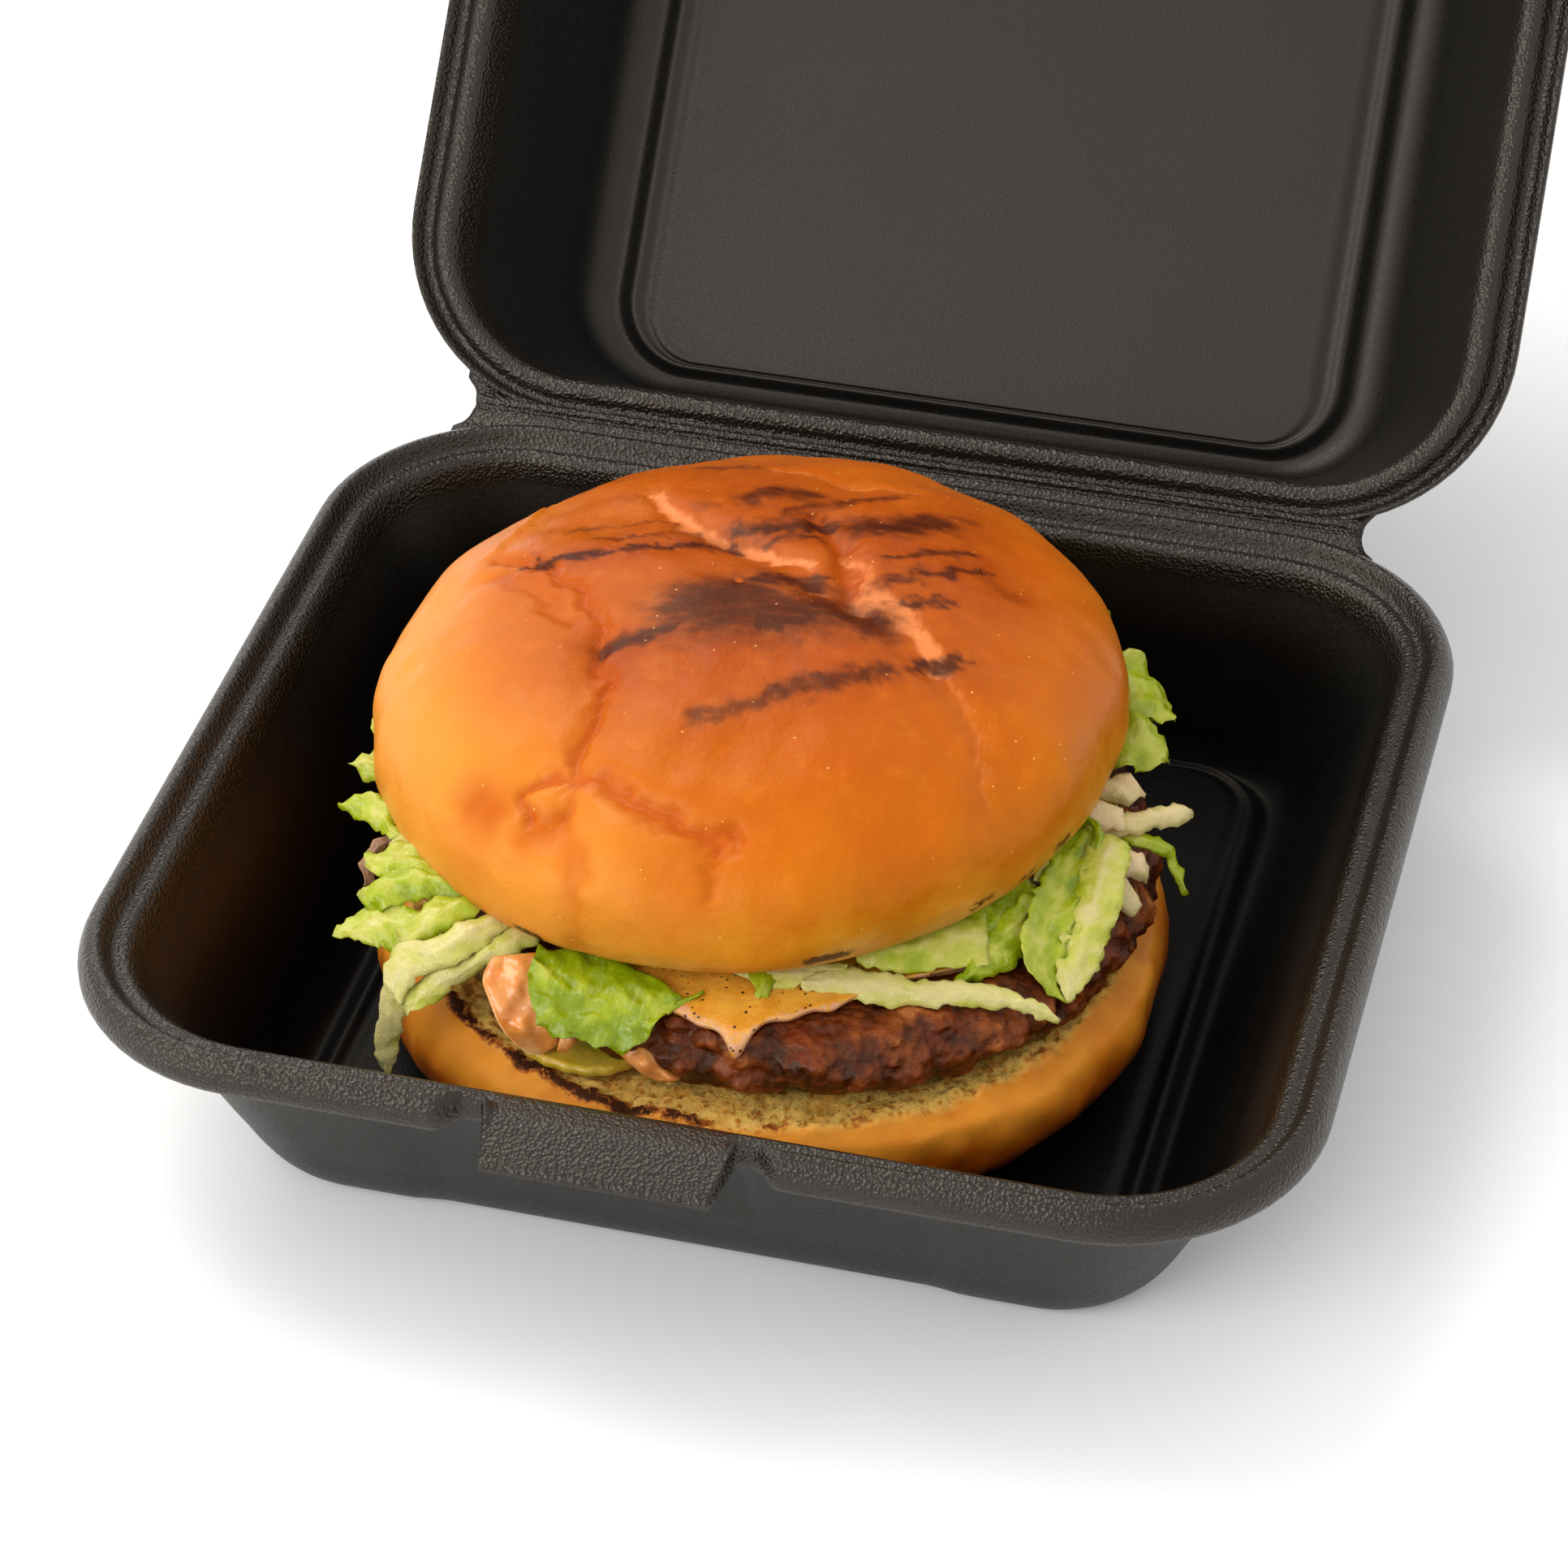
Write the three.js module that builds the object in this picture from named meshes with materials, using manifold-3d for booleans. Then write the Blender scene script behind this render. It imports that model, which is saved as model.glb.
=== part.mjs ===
// A burger in an open hinged clamshell box.
// Millimetres, +Z up. X runs along the hinge, -Y is the box's front, and the origin is the
// middle of the tray's flat bottom. The lid stands open in the position modelled.
import * as THREE from 'three';
import Module from 'manifold-3d';

const wasm = await Module();
wasm.setup();

// ---- Driving dimensions: the box ----
const BOX_WIDTH = 152;
const BOX_FRONT = -66.8;
const BOX_BACK = 70;
const RIM_TOP = 34;
const RIM_RADIUS = 26;
const WALL = 1.8;
const HINGE_Y = 71;
const HINGE_Z = 33;
const HINGE_HALF_WIDTH = 61;
const HINGE_GAP = 0.15;
const WEB_THICKNESS = 1.0;
const LID_OPEN_DEG = 131.8;
const LID_DEPTH = 31;

// The front flap of the tray, between two notches in the rim.
const FLAP_X = -4.0;
const FLAP_HALF = 14.4;
const NOTCH_WIDTH = 4.6;
const EDGE_RUN = 0.4;
const NOTCH_RUN = 1;

// The shallow recess in the front wall, between two rounded pillars.
const RECESS_HALF = 30;
const RECESS_RUN = 5;

// ---- Driving dimensions: the burger ----
const FLOOR_Z = 3.2;
const CLEAR = 0.35;
const BUN_X = -0.7;
const BUN_Y = -3.0;
const BUN_RADIUS = 49.6;
const BUN_BOTTOM_Z = FLOOR_Z + 0.4;
const BUN_CUT_Z = 20.2;
const PATTY_X = 3.2;
const PATTY_Y = -0.8;
const PATTY_RADIUS = 43.6;
const PATTY_BOTTOM_Z = 21.0;
const PATTY_TOP_Z = 29.5;
const CHEESE_THICKNESS = 1.4;
const CROWN_X = -6.6;
const CROWN_Y = 8.4;
const CROWN_Z = 38.3;
const CROWN_RADIUS = 46.9;
const CROWN_RISE = 19.9;
const CROWN_DROP = 14.6;
const CROWN_POWER = 0.92;
const CROWN_TILT_DEG = -3.4;
const LEAF_THICKNESS = 0.9;
const WIDE_LEAF = 12.5;
const SMALLEST_STEP = 0.15;

const rad = THREE.MathUtils.degToRad;
const { clamp, lerp, smoothstep } = THREE.MathUtils;

// ---- Small helpers ----

// A smooth repeatable waviness: a few sines of the angle, one set for each seed.
function ripple(angle, seed, lowest, count) {
  let sum = 0;
  for (let k = 0; k < count; k += 1) {
    sum += Math.sin((lowest + k) * angle + seed * (k + 1.7) + k * k) / (1 + k * 0.35);
  }
  return sum / count;
}

// Closes a stack of rings with a point at each end, and gives a plain mesh.
function loft(rings, firstPole, lastPole) {
  const count = rings[0].length;
  const points = [firstPole, ...rings.flat(), lastPole];
  const faces = [];
  const at = (ring, k) => 1 + ring * count + (k % count);
  for (let k = 0; k < count; k += 1) {
    faces.push([0, at(0, k + 1), at(0, k)]);
    faces.push([points.length - 1, at(rings.length - 1, k), at(rings.length - 1, k + 1)]);
    for (let ring = 0; ring + 1 < rings.length; ring += 1) {
      faces.push([at(ring, k), at(ring, k + 1), at(ring + 1, k)]);
      faces.push([at(ring, k + 1), at(ring + 1, k + 1), at(ring + 1, k)]);
    }
  }
  return { points, faces };
}

// The signed volume tells which way the faces point.
function signedVolume({ points, faces }) {
  let volume = 0;
  for (const [a, b, c] of faces) {
    const [p, q, r] = [points[a], points[b], points[c]];
    volume += p[0] * (q[1] * r[2] - q[2] * r[1]);
    volume += p[1] * (q[2] * r[0] - q[0] * r[2]);
    volume += p[2] * (q[0] * r[1] - q[1] * r[0]);
  }
  return volume / 6;
}

function outward(shape) {
  if (signedVolume(shape) > 0) return shape;
  return { points: shape.points, faces: shape.faces.map(([a, b, c]) => [a, c, b]) };
}

function toSolid(shape) {
  const { points, faces } = outward(shape);
  const vertProperties = new Float32Array(points.flat());
  const triVerts = new Uint32Array(faces.flat());
  return new wasm.Manifold(new wasm.Mesh({ numProp: 3, vertProperties, triVerts }));
}

function boxSolid(low, high) {
  const size = high.map((value, axis) => value - low[axis]);
  const geometry = new THREE.BoxGeometry(...size);
  const middle = high.map((value, axis) => (value + low[axis]) / 2);
  geometry.translate(...middle);
  return geometrySolid(geometry);
}

// A three.js geometry with its shared corners merged.
function geometrySolid(geometry) {
  const source = geometry.index ? geometry.toNonIndexed() : geometry;
  const position = source.getAttribute('position');
  const known = new Map();
  const points = [];
  const corner = [];
  for (let k = 0; k < position.count; k += 1) {
    const point = [position.getX(k), position.getY(k), position.getZ(k)];
    const key = point.map((value) => Math.round(value * 1e4)).join(' ');
    if (!known.has(key)) {
      known.set(key, points.length);
      points.push(point);
    }
    corner.push(known.get(key));
  }
  const faces = [];
  for (let k = 0; k < corner.length; k += 3) {
    const face = corner.slice(k, k + 3);
    if (new Set(face).size === 3) faces.push(face);
  }
  return toSolid({ points, faces });
}

// Keeps the largest piece of a cut solid.
function largest(solid) {
  const pieces = solid.decompose();
  pieces.sort((a, b) => b.volume() - a.volume());
  return pieces[0];
}

function toMesh(solid, name, material) {
  const { vertProperties, triVerts } = solid.getMesh();
  const geometry = new THREE.BufferGeometry();
  geometry.setAttribute('position', new THREE.BufferAttribute(Float32Array.from(vertProperties), 3));
  geometry.setIndex(new THREE.BufferAttribute(Uint32Array.from(triVerts), 1));
  geometry.computeVertexNormals();
  const mesh = new THREE.Mesh(geometry, material);
  mesh.name = name;
  return mesh;
}

function finish(color, roughness) {
  return new THREE.MeshStandardMaterial({ color, roughness, metalness: 0 });
}

// ---- The box: rounded rings, one for each line of the moulded section ----

const CORNER_STEPS = 7;

// X of the points along the front side: pillars, notches and flap need their own.
function frontStations() {
  const flapSide = [FLAP_HALF - EDGE_RUN, FLAP_HALF + EDGE_RUN];
  const notchEnd = FLAP_HALF + NOTCH_WIDTH;
  const reach = [...flapSide, notchEnd - NOTCH_RUN, notchEnd + NOTCH_RUN];
  const pillar = [RECESS_HALF, RECESS_HALF + RECESS_RUN];
  const left = [...pillar.map((x) => -x), ...reach.map((x) => FLAP_X - x)];
  const right = [...reach.map((x) => FLAP_X + x), ...pillar];
  return [...left, FLAP_X, ...right].sort((a, b) => a - b);
}

// How far a front point belongs to the flap, to a notch and to the wall's recess, 0 to 1.
function frontWeights(x) {
  const away = Math.abs(x - FLAP_X);
  const pastFlap = smoothstep(away, FLAP_HALF - EDGE_RUN, FLAP_HALF + EDGE_RUN);
  const notchEnd = FLAP_HALF + NOTCH_WIDTH;
  const pastNotch = smoothstep(away, notchEnd - NOTCH_RUN, notchEnd + NOTCH_RUN);
  const recess = 1 - smoothstep(Math.abs(x), RECESS_HALF, RECESS_HALF + RECESS_RUN);
  return { flap: 1 - pastFlap, notch: pastFlap - pastNotch, recess };
}

// One closed ring: halfX, front and back edge, corner radius, height, and what the front and
// the hinge side add to it.
function boxRing(row) {
  const { halfX, frontY, backY, radius, z } = row;
  const { recess = 0, flap = [0, 0], notch = [0, 0], backLift = 0 } = row;
  const ring = [];
  const front = (x) => {
    const weight = frontWeights(x);
    const outY = weight.recess * recess + weight.flap * flap[0] + weight.notch * notch[0];
    ring.push([x, frontY + outY, z + weight.flap * flap[1] + weight.notch * notch[1]]);
  };
  const corner = (centreX, centreY, startDeg, liftAt) => {
    for (let k = 1; k < CORNER_STEPS; k += 1) {
      const part = k / CORNER_STEPS;
      const angle = rad(startDeg + 90 * part);
      const x = centreX + radius * Math.cos(angle);
      const y = centreY + radius * Math.sin(angle);
      ring.push([x, y, z + backLift * liftAt(part)]);
    }
  };
  const straightX = halfX - radius;
  const frontTangent = frontY + radius;
  const backTangent = backY - radius;
  const middleY = (frontTangent + backTangent) / 2;
  const flat = () => 0;
  const rising = (part) => smoothstep(part, 0.15, 0.9);
  const falling = (part) => rising(1 - part);
  [-straightX, ...frontStations(), straightX].forEach(front);
  corner(straightX, frontTangent, -90, flat);
  [frontTangent, middleY, backTangent].forEach((y) => ring.push([halfX, y, z]));
  corner(straightX, backTangent, 0, rising);
  [1, 1 / 3, -1 / 3, -1].forEach((k) => ring.push([k * straightX, backY, z + backLift]));
  corner(-straightX, backTangent, 90, falling);
  [backTangent, middleY, frontTangent].forEach((y) => ring.push([-halfX, y, z]));
  corner(-straightX, frontTangent, 180, flat);
  return ring;
}

// Widths of a ring from its inset. The front wall leans a little less than the sides, and the
// hinge wall stands steeper; an outer row stays one wall outside the inner face there.
function placeRow(row, lean) {
  const { inset, outer = false, backInset = 0 } = row;
  const shift = outer ? WALL : 0;
  const frontInset = inset + Math.max(0, inset - lean.rimInset) * lean.frontExtra;
  const backAt = (value) => {
    const inRim = Math.min(value, lean.rimInset) * lean.backRim;
    return inRim + Math.max(0, value - lean.rimInset) * lean.backWall;
  };
  return {
    ...row,
    halfX: BOX_WIDTH / 2 - inset,
    frontY: BOX_FRONT + frontInset,
    backY: BOX_BACK - backInset - Math.max(0, backAt(inset + shift) - shift),
  };
}

const TRAY_LEAN = { rimInset: 6.9, frontExtra: -0.1, backRim: 1, backWall: 0.4 };
const LID_LEAN = { rimInset: 7.6, frontExtra: -0.1, backRim: 0.7, backWall: 0.235 };

// The tray's section, from the foot up the outside, over the rim and down to the floor.
const TRAY_ROWS = [
  { inset: 21.5, z: 0, radius: 12, recess: 0.4, outer: true },
  { inset: 19.6, z: 0.9, radius: 13.4, recess: 0.6, outer: true },
  { inset: 17.7, z: 3.4, radius: 14.6, recess: 0.7, outer: true },
  { inset: 15.2, z: 9, radius: 15.6, recess: 0.7, outer: true },
  { inset: 5.6, z: 30.4, radius: 20, recess: 0.3, outer: true },
  { inset: 2.5, z: 31.7, radius: 23.4, flap: [-2.6, -1.9], notch: [1.2, -0.7] },
  { inset: 1.4, z: 29.5, radius: 24.6, flap: [-3.9, -0.9], notch: [1.8, 0.6] },
  { inset: 0.3, z: 29.7, radius: 25.6, flap: [-4.2, -0.9], notch: [2.3, 0.6] },
  { inset: 0, z: 31.2, radius: RIM_RADIUS, flap: [-4.3, -1.5], notch: [2.4, 0.3] },
  { inset: 0.9, z: 33.2, radius: 25.2, flap: [-3.2, -2.4], notch: [2.0, 0] },
  { inset: 2.6, z: RIM_TOP, radius: 23.6, flap: [-0.6, -1.6], notch: [0.8, 0] },
  { inset: 4.4, z: 31.9, radius: 21.8 },
  { inset: 5.5, z: 32.3, radius: 20.6 },
  { inset: 6.9, z: 31.2, radius: 19.2 },
  { inset: 16.8, z: 9.5, radius: 15, recess: 0.7 },
  { inset: 19.4, z: 4.4, radius: 13.6, recess: 0.7 },
  { inset: 22.6, z: 2.0, radius: 11.4, recess: 0.4 },
  { inset: 25, z: 3.5, radius: 9.6 },
  { inset: 26.6, z: 2.9, radius: 8.4 },
  { inset: 28.4, z: FLOOR_Z, radius: 7 },
];

// The lid's section in its closed position, as heights above the hinge: from the top down
// the outside, round the rim that sits over the tray's bead, and up to the ceiling.
const LID_ROWS = [
  { inset: 21.5, z: LID_DEPTH, radius: 12, outer: true },
  { inset: 19.6, z: 30.1, radius: 13.4, outer: true },
  { inset: 17.7, z: 27.6, radius: 14.6, outer: true },
  { inset: 15.2, z: 22, radius: 15.6, outer: true },
  { inset: 6.6, z: 3.6, radius: 19.6, backLift: 1.0, outer: true },
  { inset: 1.2, z: 2.6, radius: 24.8, flap: [-2.4, -0.6], backLift: 1.2 },
  { inset: 0, z: 1.6, radius: RIM_RADIUS, flap: [-2.6, -0.7], backLift: 0.1 },
  { inset: 0.3, z: 0.5, radius: 25.6, flap: [-2.4, -0.7], backLift: 0.2 },
  { inset: 1.1, z: 0.9, radius: 24.8, flap: [-2.0, -0.6], backLift: 0.3 },
  { inset: 1.8, z: 1.6, radius: 24.2, flap: [-1.0, -0.3], backLift: 0.7 },
  { inset: 2.9, z: 1.6, radius: 23.2, backLift: 0.7 },
  { inset: 4.0, z: 0.2, radius: 22, backLift: 1.5 },
  { inset: 4.9, z: -0.2, radius: 21.2, backLift: 1.7 },
  { inset: 6.4, z: 0.1, radius: 19.8, backLift: 1.5 },
  { inset: 7.6, z: 1.8, radius: 18.6, backLift: 1.0 },
  { inset: 16.8, z: 21.5, radius: 15 },
  { inset: 19.4, z: 26.6, radius: 13.6 },
  { inset: 23.2, z: 28.9, radius: 11.4, backInset: 1.4 },
  { inset: 26, z: 27.4, radius: 9.6, backInset: 2.4 },
  { inset: 27.6, z: 28, radius: 8.4, backInset: 2.4 },
  { inset: 29.4, z: 27.7, radius: 7, backInset: 2.4 },
];

function boxShell(rows, lean) {
  const rings = rows.map((row) => boxRing(placeRow(row, lean)));
  return toSolid(loft(rings, [0, 0, rows[0].z], [0, 0, rows.at(-1).z]));
}

// Half of the thin hinge strip, in the frame of the hinge line, up to just short of it.
function hingeStrip(reach, lowZ, highZ) {
  return boxSolid([-HINGE_HALF_WIDTH, -reach, lowZ], [HINGE_HALF_WIDTH, -HINGE_GAP, highZ]);
}

function traySolid() {
  const strip = hingeStrip(2.6, -WEB_THICKNESS - 0.1, -0.1);
  return boxShell(TRAY_ROWS, TRAY_LEAN).add(strip.translate([0, HINGE_Y, HINGE_Z]));
}

// The lid in the frame of its hinge line, closed.
function lidSolid() {
  const strip = hingeStrip(1.7, 0.1, WEB_THICKNESS + 0.1);
  return boxShell(LID_ROWS, LID_LEAN).translate([0, -HINGE_Y, 0]).add(strip);
}

// ---- The burger ----

// Rings round an upright axis: each row gives radius and height for an angle.
function turned(centreX, centreY, steps, rows, firstZ, lastZ) {
  const rings = rows.map((row) => {
    const ring = [];
    for (let k = 0; k < steps; k += 1) {
      const angle = (2 * Math.PI * k) / steps;
      const [radius, z] = row(angle);
      ring.push([centreX + radius * Math.cos(angle), centreY + radius * Math.sin(angle), z]);
    }
    return ring;
  });
  return loft(rings, [centreX, centreY, firstZ], [centreX, centreY, lastZ]);
}

// The cut face of the lower bun stands a little high at the left and sinks at the front right.
function bunRimZ(angle) {
  return BUN_CUT_Z + 0.5 + 0.7 * Math.cos(angle - rad(165)) + 0.25 * ripple(angle, 3, 3, 4);
}

// The inner face of the tray's front wall: its place at one height, and how much it leans.
const INNER_FRONT = { y: -50.3, z: 9.5, lean: 0.442 };

// The bun's radius at an angle, pressed in where the tray's front wall is nearer.
function besideWall(angle, z, radius) {
  const wallY = INNER_FRONT.y - INNER_FRONT.lean * (z - INNER_FRONT.z);
  const reach = (wallY + CLEAR - BUN_Y) / Math.sin(angle);
  return reach > 0 ? Math.min(radius, reach) : radius;
}

function bunBottomShape(grow = 0) {
  const side = (radius, z, wave) => (angle) => {
    const bulge = wave * (0.9 * ripple(angle, 5, 2, 3) - 0.4 * Math.cos(angle + rad(50)));
    return [besideWall(angle, z, radius + grow + bulge), z];
  };
  const rim = (radius, drop) => (angle) => [radius + grow, bunRimZ(angle) - drop + grow];
  const rows = [
    side(30, BUN_BOTTOM_Z - grow, 0),
    side(38.5, BUN_BOTTOM_Z + 0.5 - grow, 0.3),
    side(45.3, BUN_BOTTOM_Z + 3.2, 0.7),
    side(48.8, BUN_BOTTOM_Z + 7, 1),
    side(BUN_RADIUS, BUN_BOTTOM_Z + 11, 1),
    side(48.6, BUN_BOTTOM_Z + 14.6, 0.8),
    rim(46.6, 0.7),
    rim(44.8, 0),
    rim(42.2, 0.5),
    (angle) => [34, BUN_CUT_Z - 0.2 + grow + 0.15 * ripple(angle, 9, 2, 3)],
    () => [18, BUN_CUT_Z - 0.3 + grow],
  ];
  return turned(BUN_X, BUN_Y, 36, rows, BUN_BOTTOM_Z - grow, BUN_CUT_Z - 0.3 + grow);
}

// The patty's craggy edge.
function pattyRadius(angle, level) {
  const crag = 1.1 * ripple(angle, 2 + level, 4, 6) + 0.8 * ripple(angle, 7 + 3 * level, 11, 4);
  return PATTY_RADIUS + crag;
}

const PATTY_STEPS = 40;

function pattyShape(grow = 0) {
  const height = PATTY_TOP_Z - PATTY_BOTTOM_Z;
  const edge = (level, inward) => (angle) => {
    const z = PATTY_BOTTOM_Z + height * level + 0.25 * ripple(angle, 4 + level, 9, 3);
    return [pattyRadius(angle, level) - inward + grow, z + grow * (2 * level - 1)];
  };
  const rows = [
    () => [26, PATTY_BOTTOM_Z - grow],
    () => [37.5, PATTY_BOTTOM_Z - grow],
    edge(0.08, 1.8),
    edge(0.26, 0.5),
    edge(0.48, 0),
    edge(0.7, 0.8),
    edge(0.88, 2.6),
    (angle) => [38.6, PATTY_TOP_Z - 0.3 + grow + 0.25 * ripple(angle, 8, 5, 3)],
    () => [30, PATTY_TOP_Z + grow],
  ];
  const ends = [PATTY_BOTTOM_Z - grow, PATTY_TOP_Z + grow];
  return turned(PATTY_X, PATTY_Y, PATTY_STEPS, rows, ...ends);
}

// A soft bump round an angle, in degrees, 1 at its middle.
function bump(angle, atDeg, halfDeg) {
  return Math.exp(-(((angle - rad(atDeg)) / rad(halfDeg)) ** 2));
}

// The melted slice: how far it runs over the patty's shoulder at each angle.
function cheeseRun(angle) {
  const tongues = 3.4 * bump(angle, 264, 15) + 2.6 * bump(angle, 276, 4) + 3 * bump(angle, 344, 5);
  return 0.9 + tongues + 2 * bump(angle, 120, 30) + 0.9 * ripple(angle, 6, 7, 4);
}

// Where the shoulder surface lies, at a run past the patty's flat top. The slice ends short
// of the shoulder at the front right.
function shoulder(angle, run, lift) {
  const retreat = 2.4 * bump(angle, 308, 22);
  const radius = 37.6 - retreat + Math.min(run, 4) * 1.05 + clamp(run - 4, 0, 3) * 0.75;
  const fall = 0.045 * run * run + clamp(run - 4, 0, 6) * 0.45;
  return [radius + 0.5 * ripple(angle, 2, 4, 5) + lift, PATTY_TOP_Z + 0.3 + lift - fall];
}

function cheeseShape(grow = 0) {
  const low = 0.25 - grow;
  const high = 0.25 + CHEESE_THICKNESS + grow;
  const on = (share, lift) => (angle) => shoulder(angle, share * cheeseRun(angle) + grow, lift);
  const rows = [
    () => [20, PATTY_TOP_Z + 0.2 + low],
    () => [34, PATTY_TOP_Z + 0.2 + low],
    on(0.3, low + 0.1),
    on(0.75, low + 0.35),
    on(1, low + 0.6),
    on(1, high - 0.5),
    on(0.72, high),
    on(0.3, high),
    () => [34, PATTY_TOP_Z + 0.2 + high],
    () => [20, PATTY_TOP_Z + 0.2 + high],
  ];
  const ends = [PATTY_TOP_Z + 0.2 + low, PATTY_TOP_Z + 0.2 + high];
  return turned(PATTY_X, PATTY_Y, 40, rows, ...ends);
}

// Broad dents in the crown's skin, as short strokes in its own plan.
const CROWN_DENTS = [
  { from: [-30, 4], to: [-14, -13], width: 2.6, depth: 0.7 },
  { from: [-14, -13], to: [-11.5, -35], width: 2.6, depth: 0.8 },
  { from: [-17, -33], to: [-11, -37.5], width: 3.2, depth: 1.4 },
  { from: [-12, -35], to: [9, -38.5], width: 2.2, depth: 0.9 },
  { from: [-13, 15], to: [14, -0.5], width: 2.2, depth: 0.8 },
  { from: [9, 17], to: [14, -0.5], width: 2.4, depth: 0.9 },
  { from: [14, -0.5], to: [33, -15], width: 2.2, depth: 0.7 },
];

function strokeDistance(x, y, from, to) {
  const along = [to[0] - from[0], to[1] - from[1]];
  const length2 = along[0] ** 2 + along[1] ** 2;
  const part = clamp(((x - from[0]) * along[0] + (y - from[1]) * along[1]) / length2, 0, 1);
  return Math.hypot(x - from[0] - part * along[0], y - from[1] - part * along[1]);
}

function crownDent(x, y) {
  let depth = 0;
  for (const dent of CROWN_DENTS) {
    const away = strokeDistance(x, y, dent.from, dent.to);
    depth = Math.max(depth, dent.depth * Math.exp(-((away / dent.width) ** 2)));
  }
  return depth;
}

const CROWN_STEPS = 40;

function crownShape(grow = 0) {
  const power = (value) => Math.sign(value) * Math.abs(value) ** CROWN_POWER;
  const skin = (levelDeg) => (angle) => {
    const level = rad(levelDeg);
    const half = level > 0 ? CROWN_RISE : CROWN_DROP;
    const swell = 1 + 0.006 * ripple(angle, 11, 2, 3) * Math.cos(level);
    const radius = CROWN_RADIUS * power(Math.cos(level)) * swell;
    const dent = crownDent(radius * Math.cos(angle), radius * Math.sin(angle));
    const z = half * power(Math.sin(level));
    return [radius + (grow - dent * 0.5) * Math.cos(level), z + (grow - dent) * Math.sin(level)];
  };
  const lip = (radius, z, wave) => (angle) => {
    const wavy = wave * ripple(angle, 1, 4, 5);
    return [radius + wavy * 0.6 + grow, z - CROWN_Z + wavy - grow];
  };
  const rows = [
    ...[76, 64, 53, 43, 34, 25, 16, 8, 0, -9, -17].map(skin),
    lip(43.8, 33.0, 0.5),
    lip(41.6, 32.9, 0.5),
    lip(38.2, 33.9, 0.3),
    lip(34.5, 35.4, 0),
    lip(29, 36.4, 0),
  ];
  const top = CROWN_RISE - crownDent(0, 0) + grow;
  const shape = turned(0, 0, CROWN_STEPS, rows, top, 36.7 - CROWN_Z - grow);
  const turn = new THREE.Matrix4().makeRotationY(rad(CROWN_TILT_DEG));
  turn.setPosition(CROWN_X, CROWN_Y, CROWN_Z);
  const points = shape.points.map((p) => new THREE.Vector3(...p).applyMatrix4(turn).toArray());
  return { points, faces: shape.faces };
}

// A slice of pickle that lies on the lower bun, half under the patty.
const PICKLE = { x: -14.8, y: -35.1, z: 21.35, radius: 9.5, thickness: 1.5 };

function pickleShape(grow = 0) {
  const half = PICKLE.thickness / 2 + grow;
  const row = (inward, z) => (angle) => {
    return [PICKLE.radius + grow - inward + 0.3 * ripple(angle, 2, 6, 3), z];
  };
  const middle = PICKLE.z + PICKLE.thickness / 2;
  const rows = [row(0.8, middle - half), row(0, middle - half * 0.4), row(0, middle + half * 0.4)];
  rows.push(row(0.8, middle + half));
  return turned(PICKLE.x, PICKLE.y, 24, rows, middle - half, middle + half);
}

// The dollop of sauce that has run down the patty's front left edge on to the bun.
const SAUCE_FROM_DEG = 222;
const SAUCE_TO_DEG = 266;

function sauceShape(grow = 0) {
  const rings = [];
  const along = 15;
  const round = 9;
  const centre = (part) => {
    const angle = rad(lerp(SAUCE_FROM_DEG, SAUCE_TO_DEG, part));
    const radius = PATTY_RADIUS + 0.6 + 0.7 * Math.sin(part * 9);
    const z = lerp(26.4, 23.2, part) + 0.6 * Math.sin(part * 7 + 1);
    return { angle, radius, z };
  };
  for (let k = 1; k < along; k += 1) {
    const part = k / along;
    const { angle, radius, z } = centre(part);
    const swell = Math.sin(Math.PI * part) ** 0.45 * (1 + 0.22 * Math.sin(part * 13 + 0.5));
    const ring = [];
    for (let j = 0; j < round; j += 1) {
      const turn = (2 * Math.PI * j) / round;
      const away = radius + (4.4 * swell + grow) * Math.cos(turn);
      const x = PATTY_X + away * Math.cos(angle);
      const y = PATTY_Y + away * Math.sin(angle);
      ring.push([x, y, z + (4.6 * swell + grow) * Math.sin(turn)]);
    }
    rings.push(ring);
  }
  const pole = ({ angle, radius, z }) => {
    return [PATTY_X + radius * Math.cos(angle), PATTY_Y + radius * Math.sin(angle), z];
  };
  return loft(rings, pole(centre(0)), pole(centre(1)));
}

// ---- Lettuce ----

// A thin wavy leaf or shred along a curve from its root to its tip.
function leafShape({ root, mid, tip, width, ruffle, cup = 0, seed = 0, narrow = 0.5, face = [0, 0, 1] }) {
  const start = new THREE.Vector3(...root);
  const end = new THREE.Vector3(...tip);
  const bend = new THREE.Vector3(...mid).multiplyScalar(2).sub(start.clone().add(end).multiplyScalar(0.5));
  const spine = new THREE.QuadraticBezierCurve3(start, bend, end);
  const along = 5;
  const across = width > WIDE_LEAF ? 4 : 2;
  const upper = [];
  const lower = [];
  for (let i = 0; i <= along; i += 1) {
    const u = i / along;
    const point = spine.getPoint(u);
    const forward = spine.getTangent(u);
    const side = forward.clone().cross(new THREE.Vector3(...face)).normalize();
    const normal = side.clone().cross(forward).normalize();
    const taper = lerp(narrow, 1, Math.sin(Math.min(1, u * 1.5) * Math.PI * 0.5));
    const half = 0.5 * width * taper * Math.max(0.16, (1 - u ** 3.2) ** 0.7);
    for (let j = 0; j <= across; j += 1) {
      const v = (2 * j) / across - 1;
      const wave = ruffle * Math.sin(u * 9 + seed + 1.9 * v) * Math.abs(v) ** 1.3;
      const lift = wave + cup * half * v * v;
      const middle = point.clone().addScaledVector(side, half * v).addScaledVector(normal, lift);
      upper.push(middle.clone().addScaledVector(normal, LEAF_THICKNESS / 2).toArray());
      lower.push(middle.clone().addScaledVector(normal, -LEAF_THICKNESS / 2).toArray());
    }
  }
  return sheet(upper, lower, along, across);
}

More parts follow.
